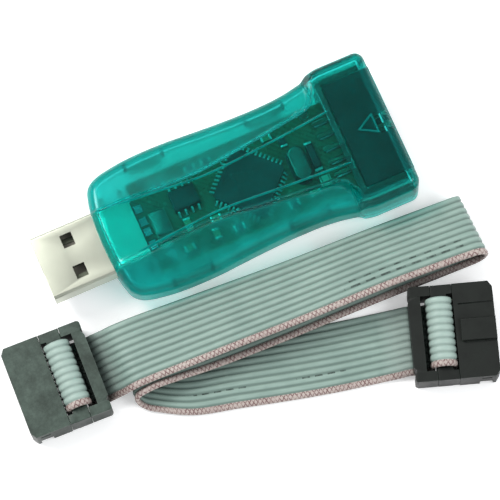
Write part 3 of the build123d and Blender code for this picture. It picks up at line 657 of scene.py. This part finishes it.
def infill_points():
    """Points over the roof: a grid, and rows that follow the steps of the scoops."""
    points = []
    corner_x = SCOOP_END_X - SCOOP_CORNER
    for x in np.arange(-27.6, 28.0, 0.42):
        spine = float(np.interp(x, *SPINE_CURVE))
        beside_scoop = x < corner_x
        for y in np.arange(-13.6, 13.7, 0.42):
            out = abs(y)
            beyond = out - spine
            past_end = x - SCOOP_END_X - scoop_flare(y)
            near_corner = (
                x > SCOOP_END_X - 3.4 and x < SCOOP_END_X + 0.9
                and math.hypot(x - corner_x, out - (spine + SCOOP_CORNER)) > 1.2
                and out < spine + 3.2 and out > spine - 0.9)
            if beside_scoop and -0.62 < beyond < 0.82:
                continue
            if near_corner and beyond < 3.1:
                continue
            if x > SCOOP_END_X - 3.2 and out > spine + 2.6 and -2.1 < past_end < 0.62:
                continue
            points.append((x, y))
        if beside_scoop:
            for offset in (-0.5, -0.38, -0.27, -0.18, -0.10, -0.02,
                           0.06, 0.15, 0.26, 0.4, 0.55, 0.7):
                points.append((x, spine + offset))
                points.append((x, -(spine + offset)))
    # rows that turn with the scoop's corner, then run out along its header end
    for offset in (-0.5, -0.38, -0.27, -0.18, -0.10, -0.02,
                   0.08, 0.2, 0.36, 0.55, 0.78, 1.05, 1.35, 1.7):
        radius = SCOOP_CORNER - offset
        for degrees in np.linspace(0, 90, max(8, int(radius * 1.5708 / 0.3))):
            angle = math.radians(degrees)
            x = corner_x + radius * math.sin(angle)
            spine = float(np.interp(x, *SPINE_CURVE))
            for side in (1, -1):
                points.append((x, side * (spine + SCOOP_CORNER - radius * math.cos(angle))))
        for y in np.arange(8.4, 13.8, 0.4):
            for side in (1, -1):
                points.append((SCOOP_END_X + scoop_flare(y) - offset, side * y))
    return np.array(points)


def well_inside(points, ring, margin=0.16):
    """The points that lie inside the ring and further than margin from it."""
    crossings = np.zeros(len(points), int)
    distance = np.full(len(points), 1e9)
    for a, b in zip(ring, np.roll(ring, -1, 0)):
        along = b - a
        t = np.clip(((points - a) @ along) / (float(along @ along) + 1e-12), 0, 1)
        distance = np.minimum(distance, np.hypot(*(points - a - t[:, None] * along).T))
        spans = (a[1] > points[:, 1]) != (b[1] > points[:, 1])
        if abs(along[1]) > 1e-12:
            x_cross = a[0] + (points[:, 1] - a[1]) / along[1] * along[0]
            crossings += (spans & (points[:, 0] < x_cross)).astype(int)
    return points[(crossings % 2 == 1) & (distance > margin)]


def tube_faces(rows, count, start=0):
    """Quads that join consecutive closed rows of count vertices."""
    faces = []
    for row in range(rows - 1):
        for i in range(count):
            a = start + row * count + i
            b = start + row * count + (i + 1) % count
            faces.append((a, b, b + count, a + count))
    return faces


class ShellMesh:
    """Vertices, faces and painted light values of one shell as it grows."""

    def __init__(self):
        self.verts, self.faces, self.painted_glow = [], [], []

    def add_points(self, points, heights, painted_glow):
        self.verts += [(x, y, z) for (x, y), z in zip(points, heights)]
        self.painted_glow += list(np.broadcast_to(painted_glow, len(points)))

    def add_fitting(self, verts, faces, painted_glow):
        start = len(self.verts)
        self.verts += verts
        self.faces += [tuple(i + start for i in face) for face in faces]
        self.painted_glow += [painted_glow] * len(verts)


def add_skin(mesh, outline, half, inset, lower, round_in, round_down, inner):
    """Adds the outer or inner skin of a half: wall, rounded rim and roof. Returns the index
    of its first vertex."""
    count = len(outline)
    start = len(mesh.verts)
    normals = outline_normals(outline)
    low = np.array([wall_edge(p, half) for p in outline])
    rim = outline - normals * (inset + round_in)
    rim_z = case_height(*rim.T, half) - lower
    # only the outer skin gets the painted light
    lit = 0.0 if inner else 1.0           # only the outer skin glows
    wall_levels = (0.0, 0.5, 1.0)
    for level in wall_levels:
        z = low + (np.maximum(rim_z - round_down, low + 0.05) - low) * level
        mesh.add_points(outline - normals * inset, z, 0.25 * lit if level == 0.0 else 0.0)
    steps = 8
    # painted highlight along the top of the rim
    rim_glow = {steps - 1: 0.25, steps: 0.55}
    for k in range(1, steps + 1):
        angle = math.pi / 2 * k / steps
        ring = outline - normals * (inset + round_in * (1 - math.cos(angle)))
        z = case_height(*ring.T, half) - lower
        z = z + (rim_z - z) * (1 - k / steps)
        z = np.maximum(z - round_down * (1 - math.sin(angle)), low + 0.06)
        painted_glow = np.maximum(rim_glow.get(k, 0.0), 0.6 * step_glow(*ring.T, half))
        mesh.add_points(ring, z, painted_glow * lit)
    rows = len(wall_levels) + steps
    faces = tube_faces(rows, count, start)

    # the roof inside the last ring: fine triangles that follow the surface
    last = start + (rows - 1) * count
    flat = [Vector((float(x), float(y)))
            for x, y in np.vstack([rim, well_inside(infill_points(), rim)])]
    border = [(i, (i + 1) % count) for i in range(count)]
    points, _, triangles, sources, _, _ = delaunay_2d_cdt(flat, border, [], 1, 1e-6)
    points = np.array([tuple(p) for p in points])
    heights = case_height(*points.T, half) - lower
    glows = step_glow(*points.T, half) * lit
    index = {}
    for k, source in enumerate(sources):
        on_ring = [i for i in source if i < count]
        if on_ring:
            index[k] = last + on_ring[0]
        else:
            index[k] = len(mesh.verts)
            mesh.add_points(points[k:k + 1], heights[k:k + 1], glows[k])
    for triangle in triangles:
        face = tuple(index[i] for i in triangle)
        if len(set(face)) >= 3:
            faces.append(face)
    mesh.faces += [face[::-1] for face in faces] if inner else faces
    return start


def build_shell(name, half, fittings):
    outline = with_window(case_outline(), lambda x: x < -27, PLUG_WINDOW)
    outline = with_window(outline, lambda x: x > 28.1, HEADER_WINDOW)
    count = len(outline)
    mesh = ShellMesh()
    outer = add_skin(mesh, outline, half, inset=0.0, lower=0.0, round_in=1.65,
                     round_down=2.1, inner=False)
    inner = add_skin(mesh, outline, half, inset=1.3, lower=1.1, round_in=0.9,
                     round_down=1.2, inner=True)
    for i in range(count):
        j = (i + 1) % count
        mesh.faces.append((inner + i, inner + j, outer + j, outer + i))
    if half == "bottom":
        mesh.verts = [(x, y, CASE_HEIGHT - z) for x, y, z in mesh.verts]
        mesh.faces = [face[::-1] for face in mesh.faces]
    for fitting in fittings:
        mesh.add_fitting(*fitting)

    data = bpy.data.meshes.new(name)
    data.from_pydata([tuple(c * MILLI for c in v) for v in mesh.verts], [], mesh.faces)
    attribute = data.attributes.new("painted_glow", "FLOAT", "POINT")
    attribute.data.foreach_set("value", np.array(mesh.painted_glow, np.float32))
    data.validate()
    bm = bmesh.new()
    bm.from_mesh(data)
    for edge in bm.edges:
        if len(edge.link_faces) == 2 and edge.calc_face_angle(0) > math.radians(38):
            edge.smooth = False
    for face in bm.faces:
        face.smooth = True
    bm.to_mesh(data)
    bm.free()
    shell = bpy.data.objects.new(name, data)
    bpy.context.scene.collection.objects.link(shell)
    data.materials.append(materials["tinted_shell"])
    return shell


# ------------------------------------------------------------------ case fittings
def box(x, y, z, chamfer=0.1):
    """Box over three (low, high) ranges, with softened edges."""
    bm = bmesh.new()
    bmesh.ops.create_cube(bm, size=1.0)
    for vert in bm.verts:
        vert.co = Vector([(low + high) / 2 + c * (high - low)
                          for c, (low, high) in zip(vert.co, (x, y, z))])
    bmesh.ops.bevel(bm, geom=list(bm.edges), offset=chamfer, segments=2, affect="EDGES",
                    profile=0.5)
    verts = [tuple(vert.co) for vert in bm.verts]
    bm.verts.index_update()
    faces = [tuple(vert.index for vert in face.verts) for face in bm.faces]
    bm.free()
    return verts, faces


def side_box(side, x, y, z, chamfer=0.1):
    """Box given by its distances from the middle, on the +y (1) or -y (-1) side."""
    return box(x, sorted((side * y[0], side * y[1])), z, chamfer)


def post(x, y, radius, z0, z1, count=24):
    """Upright round post with chamfered ends."""
    chamfer = 0.12
    verts = []
    for r, z in ((radius - chamfer, z0), (radius, z0 + chamfer),
                 (radius, z1 - chamfer), (radius - chamfer, z1)):
        for k in range(count):
            angle = 2 * math.pi * k / count
            verts.append((x + r * math.cos(angle), y + r * math.sin(angle), z))
    faces = tube_faces(4, count)
    faces.append(tuple(reversed(range(count))))
    faces.append(tuple(range(3 * count, 4 * count)))
    return verts, faces


def triangle_mark():
    """Raised outline triangle on the roof by the header."""
    corners = np.array([(25.1, 1.75), (25.1, -2.25), (21.6, -0.25)])
    middle = np.mean(corners, 0)
    # section of the outline: (scale about the middle, z)
    section = [(1.0, 11.8), (1.0, 12.07), (0.95, 12.14), (0.80, 12.14), (0.75, 12.07),
               (0.75, 11.8)]
    verts, faces = [], []
    for scale, z in section:
        for corner in corners:
            verts.append((*(middle + (corner - middle) * scale), z))
    for k in range(len(section)):
        a, b = k * 3, (k + 1) % len(section) * 3
        for i in range(3):
            j = (i + 1) % 3
            faces.append((a + i, b + i, b + j, a + j))
    return verts, faces


def ridge(side, half_width=0.23, rise=0.15, sink=0.14, taper=1.2, count=12):
    """Slim raised line with tapered ends, laid along the top shell."""
    x = np.arange(-22.8, 18.31, 0.5)
    y = np.interp(x, *RIDGE_CURVE)
    path = np.stack([x, side * y, case_height(x, y, "top")], 1)
    tangent = np.gradient(path, axis=0)
    tangent[:, 2] = 0
    tangent /= np.linalg.norm(tangent, axis=1)[:, None]
    sideways = np.stack([-tangent[:, 1], tangent[:, 0], np.zeros(len(path))], 1)
    run = np.concatenate([[0], np.cumsum(np.linalg.norm(np.diff(path, axis=0), axis=1))])
    verts = []
    for k, centre in enumerate(path):
        size = min(1.0, 0.25 + run[k] / taper, 0.25 + (run[-1] - run[k]) / taper)
        for i in range(count):
            angle = 2 * math.pi * i / count
            z = (rise if math.sin(angle) > 0 else sink) * math.sin(angle) * size
            offset = sideways[k] * (half_width * size * math.cos(angle))
            verts.append(tuple(centre + offset + np.array([0, 0, z])))
    faces = [face[::-1] for face in tube_faces(len(path), count)]
    faces.append(tuple(range(count)))
    faces.append(tuple(reversed(range((len(path) - 1) * count, len(path) * count))))
    return verts, faces


# Hooks: x range, distance from the middle
HOOKS = [((-18.6, -12.2), 11.15), ((4.6, 11.0), 10.25)]
# Walls by the header and the plug: x range, y range, z range in the top shell, upper z
# in the bottom shell, painted highlight in the top shell
WALLS = [((18.2, 26.8), (10.3, 11.3), (6.05, 10.6), 5.95, 0.1),
         ((17.9, 18.9), (6.3, 11.0), (6.9, 10.6), 5.0, 0.15),
         ((-25.8, -24.9), (6.15, 7.4), (6.9, 9.9), 5.1, 0.1),
         ((-22.2, -21.3), (6.15, 7.4), (6.9, 9.9), 5.1, 0.1)]


def case_fittings():
    """Fittings of the top and of the bottom shell, each as (verts, faces, painted light)."""
    top = [(*triangle_mark(), 0.8), (*ridge(1), 1.0), (*ridge(-1), 1.0)]
    bottom = []
    # bar across the roof's underside, before the header
    top.append((*box((17.7, 18.75), (-10.9, 10.9), (9.9, 10.95), chamfer=0.16), 0.42))
    for x in (-17.5, 14.2):
        for y in (7.1, -7.1):
            top.append((*post(x, y, radius=0.9, z0=6.85, z1=9.6), 0.15))
            bottom.append((*post(x, y, radius=1.1, z0=1.6, z1=5.15), 0.1))
    for (x0, x1), middle in HOOKS:
        for side in (1, -1):
            # upright plate, and the web that joins it to the wall
            bottom.append((*side_box(side, (x0, x1), (middle - 0.38, middle + 0.38),
                                     (2.6, 7.6), chamfer=0.14), 0.55))
            bottom.append((*side_box(side, (x0 + 0.3, x1 - 0.3), (middle + 0.2, 11.9),
                                     (3.2, 4.4)), 0.2))
            # dark block past each end of the plate
            for x in (x0 - 0.75, x1 + 0.15):
                top.append((*side_box(side, (x, x + 0.6), (middle - 0.5, middle + 0.8),
                                      (6.2, 8.6)), -1.0))
    for side in (1, -1):
        for x, y, top_z, bottom_z, painted_glow in WALLS:
            top.append((*side_box(side, x, y, top_z), painted_glow))
            bottom.append((*side_box(side, x, y, (1.2, bottom_z)), 0.0 if x[0] > 0 else 0.0))
    return top, bottom


top_fittings, bottom_fittings = case_fittings()
case_top = build_shell("case_top", "top", top_fittings)
case_bottom = build_shell("case_bottom", "bottom", bottom_fittings)
for shell, body, node in ((case_top, "top_cover", "top_shell"),
                          (case_bottom, "programmer", "bottom_shell")):
    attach(shell, body)
    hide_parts(node)


# ------------------------------------------------------------------ ribbon path, mm
# Ends of the right fold's axis, at the far and near edge, and the fold's radius there
RIGHT_FAR, RIGHT_NEAR = np.array([32.55, -16.35, 2.45]), np.array([31.35, -28.85, 4.4])
RIGHT_RADIUS_FAR, RIGHT_RADIUS_NEAR = 1.40, 2.75
# Sockets: x, y, and the angle of their length in degrees
SOCKETS = {"a": (-52.82, -18.60, -2.2), "b": (29.95, -41.90, 161.3)}
CRIMP = 7.75              # where the cable leaves a socket, along its length
LOOP_RADIUS, LOOP_Z = 2.0, 5.0

# Stations of each run: (far edge), (near edge)
TOP_RUN = [
    ((-36.85, -12.9, 1.42), (-37.25, -25.6, 1.42)),
    ((-35.9, -13.0, 2.05), (-36.3, -25.7, 2.15)),
    ((-34.9, -13.2, 2.75), (-35.3, -25.85, 3.05)),
    ((-33.9, -13.3, 3.5), (-34.35, -26.0, 4.0)),
    ((-32.9, -13.4, 4.1), (-33.4, -26.05, 4.9)),
    ((-31.7, -13.45, 4.4), (-32.2, -26.1, 5.45)),
    ((-29.5, -13.5, 4.5), (-30.0, -26.15, 5.65)),
    ((-22.0, -13.9, 4.35), (-22.5, -26.45, 6.1)),
    ((-15.0, -14.3, 4.2), (-15.5, -26.75, 6.5)),
    ((-1.0, -15.1, 3.95), (-1.5, -27.35, 7.1)),
    ((17.4, -15.75, 3.8), (16.9, -27.85, 7.5)),
    ((26.0, -16.1, 3.85), (25.3, -28.4, 7.4)),
]
MIDDLE_RUN = [
    ((22.0, -16.0, 1.35), (21.7, -28.6, 1.75)),
    ((8.0, -15.75, 1.9), (7.7, -28.4, 2.2)),
    ((-6.0, -15.7, 2.35), (-6.3, -28.4, 2.95)),
    ((-20.0, -15.2, 2.85), (-20.3, -28.0, 3.7)),
    ((-24.4, -14.95, 3.1), (-24.9, -27.65, 4.25)),
]
LEFT_FOLD = [
    ((-29.9, -14.8, 3.3), (-30.6, -27.45, 4.6)),
    ((-31.1, -14.9, 3.05), (-32.2, -27.55, 4.27)),
    ((-31.8, -15.05, 2.6), (-33.05, -27.65, 3.62)),
    ((-32.08, -15.45, 1.9), (-33.4, -28.05, 2.65)),
    ((-31.8, -16.2, 1.2), (-33.05, -28.8, 1.7)),
    ((-31.0, -17.1, 0.75), (-32.2, -29.75, 1.12)),
    ((-29.4, -18.1, 0.5), (-30.6, -30.75, 0.75)),
]
BOTTOM_RUN = [
    ((-24.9, -20.5, 0.48), (-26.3, -33.25, 0.55)),
    ((-14.0, -23.55, 0.5), (-17.2, -35.84, 0.5)),
    ((3.2, -27.95, 0.50), (0.0, -40.24, 0.50)),
    ((12.0, -29.75, 0.52), (8.3, -41.95, 0.52)),
    ((15.0, -30.42, 0.68), (11.2, -42.5, 0.68)),
    ((17.16, -30.87, 0.95), (13.09, -42.90, 0.95)),
]


def unit(vector):
    return vector / np.linalg.norm(vector)


def right_fold():
    out = unit(np.array([1.0, -0.042, 0.0]))
    stations = []
    for degrees in range(90, -91, -15):
        angle = math.radians(degrees)
        stations.append([
            axis + out * radius * math.cos(angle) + np.array([0, 0, radius * math.sin(angle)])
            for axis, radius in ((RIGHT_FAR, RIGHT_RADIUS_FAR),
                                 (RIGHT_NEAR, RIGHT_RADIUS_NEAR))])
    return stations


def socket_centre(tag, along, z):
    x, y, degrees = SOCKETS[tag]
    angle = math.radians(degrees)
    return np.array([x + along * math.cos(angle), y + along * math.sin(angle), z])


def socket_loop(tag):
    """From the crimp, over the cover, down behind it and out at the back of the socket."""
    path = [(CRIMP, z) for z in (0.35, 1.4, 2.6, 3.8, LOOP_Z)]
    for degrees in range(168, 0, -12):
        angle = math.radians(degrees)
        path.append((CRIMP + LOOP_RADIUS + LOOP_RADIUS * math.cos(angle),
                     LOOP_Z + LOOP_RADIUS * math.sin(angle)))
    path += [(CRIMP + 2 * LOOP_RADIUS, z) for z in (LOOP_Z, 4.0, 3.0, 2.2)]
    path += [(11.85, 1.5), (12.15, 0.98), (12.6, 0.68), (13.2, 0.58), (13.9, 0.6),
             (14.6, 0.73), (15.33, 1.0)]
    angle = math.radians(SOCKETS[tag][2])
    across = np.array([-math.sin(angle), math.cos(angle), 0])
    if tag == "b":
        across = -across      # socket b points the other way
    half = across * RIBBON_WIDTH / 2
    centres = [socket_centre(tag, along, z) for along, z in path]
    return [(centre + half, centre - half) for centre in centres]


stations, first = [], {}      # first: index of each run's first station
for run, run_stations in (
        ("loop_a", socket_loop("a")), ("top", TOP_RUN), ("right_fold", right_fold()),
        ("middle", MIDDLE_RUN), ("left_fold", LEFT_FOLD), ("bottom", BOTTOM_RUN),
        ("loop_b", socket_loop("b")[::-1])):
    first[run] = len(stations)
    stations += [(np.array(far), np.array(near)) for far, near in run_stations]


def resample(step):
    """Smooth path through the stations. Returns its centres, its width directions and the
    station number of each point."""
    centres = np.array([(far + near) / 2 for far, near in stations])
    widths = np.array([unit(far - near) for far, near in stations])
    last = len(stations) - 1
    gaps = [np.linalg.norm(centres[i + 1] - centres[i]) for i in range(last)]

    def slope(values, i, span):
        """Slope at station i scaled to one gap, so uneven spacing doesn't overshoot."""
        if i == 0:
            return values[1] - values[0]
        if i == last:
            return values[i] - values[i - 1]
        before, after = gaps[i - 1], gaps[i]
        return ((values[i] - values[i - 1]) / before * after
                + (values[i + 1] - values[i]) / after * before) / (before + after) * gaps[span]

    def between(values, i, t):
        start, start_slope, end, end_slope = hermite(t)
        return (start * values[i] + start_slope * slope(values, i, i)
                + end * values[i + 1] + end_slope * slope(values, i + 1, i))

    path, directions, numbers = [], [], []
    for i in range(last):
        count = max(1, int(math.ceil(gaps[i] / step)))
        for k in range(count):
            t = k / count
            path.append(between(centres, i, t))
            directions.append(unit(between(widths, i, t)))
            numbers.append(i + t)
    path.append(centres[-1])
    directions.append(widths[-1])
    numbers.append(float(last))
    return np.array(path), np.array(directions), np.array(numbers)


path_centre, path_width, path_station = resample(step=0.7)
path_tangent = np.gradient(path_centre, axis=0)
path_tangent /= np.linalg.norm(path_tangent, axis=1)[:, None]
path_normal = np.cross(path_tangent, path_width)
path_normal /= np.linalg.norm(path_normal, axis=1)[:, None]
path_run = np.concatenate(
    [[0], np.cumsum(np.linalg.norm(np.diff(path_centre, axis=0), axis=1))])


def nearest(station):
    """Index of the path point nearest to a station number."""
    return int(np.argmin(np.abs(path_station - station)))


# ------------------------------------------------------------------ ribbon pieces
def ribbon_section():
    """Closed section: ten round wires with webs between them. (across, through)"""
    web, swell, lobe_radius = 0.11, 0.34, 0.655
    top = []
    for i in range(WIRE_COUNT):
        middle = (i - 4.5) * WIRE_PITCH
        for k in range(-3, 5):
            offset = k / 4 * (WIRE_PITCH / 2)
            top.append((middle + offset,
                        web + swell * math.sqrt(1 - (offset / lobe_radius) ** 2)))
    top.pop()                 # the last point lies on the edge
    underside = [(across, -through) for across, through in reversed(top)]
    return [(-HALF_RIBBON, 0.0)] + top + [(HALF_RIBBON, 0.0)] + underside


SECTION = ribbon_section()


def ribbon_piece(name, start, end):
    """The cable between two path points, with capped ends. Its rib attribute holds mm
    along, mm across and the side."""
    count, rows = len(SECTION), end - start + 1
    verts, places = [], []
    for i in range(start, end + 1):
        for across, through in SECTION:
            point = path_centre[i] + path_width[i] * across + path_normal[i] * through
            verts.append(tuple(point * MILLI))
            places.append((path_run[i], across, 1.0 if through > 0 else -1.0))
    faces = tube_faces(rows, count)
    faces.append(tuple(range(count)))
    faces.append(tuple(reversed(range((rows - 1) * count, rows * count))))
    data = bpy.data.meshes.new(name)
    data.from_pydata(verts, [], faces)
    attribute = data.attributes.new("rib", "FLOAT_VECTOR", "POINT")
    attribute.data.foreach_set("vector", np.array(places, np.float32).ravel())
    data.validate()
    bm = bmesh.new()
    bm.from_mesh(data)
    bmesh.ops.recalc_face_normals(bm, faces=bm.faces)
    bm.to_mesh(data)
    bm.free()
    cap_edges = set()
    for polygon in data.polygons:
        is_cap = len(polygon.vertices) > 4
        polygon.use_smooth = not is_cap
        if is_cap:
            cap_edges.update(polygon.edge_keys)
    for edge in data.edges:
        if tuple(sorted(edge.vertices)) in cap_edges:
            edge.use_edge_sharp = True
    piece = bpy.data.objects.new(name, data)
    bpy.context.scene.collection.objects.link(piece)
    return piece


# Where the pieces part, as path points
cut_a = nearest(first["top"] + 2.0)                # on the ramp behind socket a
cut_right = nearest(first["middle"] - 0.3)         # on the middle run, past the right fold
cut_left = nearest(first["left_fold"] - 0.45)      # on the middle run, before the left fold
cut_b = nearest(first["loop_b"] - 1 - 0.5)         # at the end of the lower run

# Ink dashes: start and end along, low and high across, period (mm), inked share
ink_top = path_run[nearest(first["right_fold"] - 2)]
ink_bottom = path_run[nearest(first["bottom"] + 0.6)]
INK = [(float(ink_top - 9), float(ink_top + 14), -3.9, -3.55, 2.9, 0.62),
       (float(ink_top - 9), float(ink_top + 14), -2.75, -2.4, 2.9, 0.45),
       (float(ink_bottom - 4), float(ink_bottom + 6), -2.9, -2.55, 2.3, 0.6),
       (float(ink_bottom + 15), float(ink_bottom + 24), -2.9, -2.55, 2.3, 0.6)]
ribbon_pvc = ribbon_material("ribbon_pvc_mat", float(path_run[-1]), INK)

loop_a = ribbon_piece("ribbon_loop_a", 0, cut_a)
upper = ribbon_piece("ribbon_upper", cut_a, cut_right)
middle = ribbon_piece("ribbon_middle", cut_right, cut_left)
lower = ribbon_piece("ribbon_lower", cut_left, cut_b)
loop_b = ribbon_piece("ribbon_loop_b", cut_b, len(path_centre) - 1)
for piece in (loop_a, upper, middle, lower, loop_b):
    piece.data.materials.append(ribbon_pvc)


def blend_loop(piece):
    """Bakes the piece's transform into its mesh."""
    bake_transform(piece)


def blend_fold(piece):
    """Bakes the piece's transform into its mesh."""
    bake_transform(piece)


blend_loop(loop_a)
blend_loop(loop_b)
blend_fold(upper)
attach(middle, "cable_middle")
blend_fold(lower)
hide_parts("socket_a_ribbon_end", "socket_a_wire_ends")
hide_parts("socket_b_ribbon_end", "socket_b_wire_ends")
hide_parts("ribbon_top_run", "wires_top_run")
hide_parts("ribbon_middle_run", "wires_middle_run")
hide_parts("ribbon_bottom_run", "wires_bottom_run")

# ------------------------------------------------------------------ stage, metres
FLOOR_REACH, FLOOR_Z = 2, -0.0002
scene = bpy.context.scene


def build_floor():
    """White floor, lit a little from within."""
    data = bpy.data.meshes.new("floor")
    data.from_pydata([(x * FLOOR_REACH, y * FLOOR_REACH, FLOOR_Z)
                      for x, y in ((-1, -1), (1, -1), (1, 1), (-1, 1))], [], [(0, 1, 2, 3)])
    floor = bpy.data.objects.new("floor", data)
    scene.collection.objects.link(floor)
    g = Graph("floor_mat")
    white = g.mix(g.noise(6, detail=3), (0.90, 0.90, 0.90, 1), (0.93, 0.93, 0.93, 1))
    g.shade({"Base Color": white, "Roughness": 0.9, "Specular IOR Level": 0.1,
             "Emission Color": (1, 1, 1, 1), "Emission Strength": 0.32})
    data.materials.append(g.material)


def build_world():
    """Even light; reflections see it fade from the horizon up."""
    world = bpy.data.worlds.new("studio")
    scene.world = world
    world.use_nodes = True
    tree = world.node_tree
    rays = make_node(tree, "ShaderNodeLightPath")
    coord = make_node(tree, "ShaderNodeTexCoord")
    split = make_node(tree, "ShaderNodeSeparateXYZ", {0: coord.outputs["Generated"]})
    fade = make_node(tree, "ShaderNodeMapRange", {
        "Value": split.outputs["Z"], "From Min": -0.1, "From Max": 1.0,
        "To Min": 0.75, "To Max": 0.32})
    even_strength = 0.66
    strength = make_node(tree, "ShaderNodeMix", {
        0: rays.outputs["Is Glossy Ray"], 2: even_strength, 3: fade.outputs["Result"]},
        data_type="FLOAT")
    fill(tree, tree.nodes["Background"],
         {"Color": (0.97, 0.985, 1.0, 1), "Strength": strength.outputs[0]})


def area_light(name, location, size, power, color):
    """Rectangular light aimed at the product."""
    data = bpy.data.lights.new(name, "AREA")
    data.shape = "RECTANGLE"
    data.size, data.size_y = size
    data.energy = power
    data.color = color
    light = bpy.data.objects.new(name, data)
    light.location = location
    aim = Vector((0, -0.02, 0)) - Vector(location)
    light.rotation_euler = aim.to_track_quat("-Z", "Y").to_euler()
    scene.collection.objects.link(light)


def build_camera():
    data = bpy.data.cameras.new("camera")
    camera = bpy.data.objects.new("camera", data)
    scene.collection.objects.link(camera)
    # columns: the camera's right, up and backward directions, and its place
    camera.matrix_world = Matrix((
        (0.916479522024858, 0.39383347750285524, -0.0704306588574591, -0.0459655462),
        (-0.3989485554900554, 0.8863723552401984, -0.23491295821716943, -0.15011154165),
        (-0.030088798272545805, 0.24339112527771303, 0.969461409419974, 0.57921081232),
        (0, 0, 0, 1)))
    data.sensor_width = 36
    data.lens = 238.31784
    data.clip_start = 0.01
    data.clip_end = 10
    scene.camera = camera


build_floor()
build_world()
area_light("key", location=(-0.25, 0.35, 0.55), size=(0.35, 0.25), power=4.0,
           color=(1.0, 0.99, 0.97))
area_light("fill", location=(0.35, -0.30, 0.50), size=(0.4, 0.3), power=2.0,
           color=(0.97, 0.99, 1.0))
build_camera()
scene.view_settings.view_transform = "Standard"
scene.view_settings.look = "None"
scene.cycles.max_bounces = 16
scene.cycles.transparent_max_bounces = 32
scene.cycles.transmission_bounces = 12
scene.cycles.caustics_refractive = False
scene.cycles.caustics_reflective = False
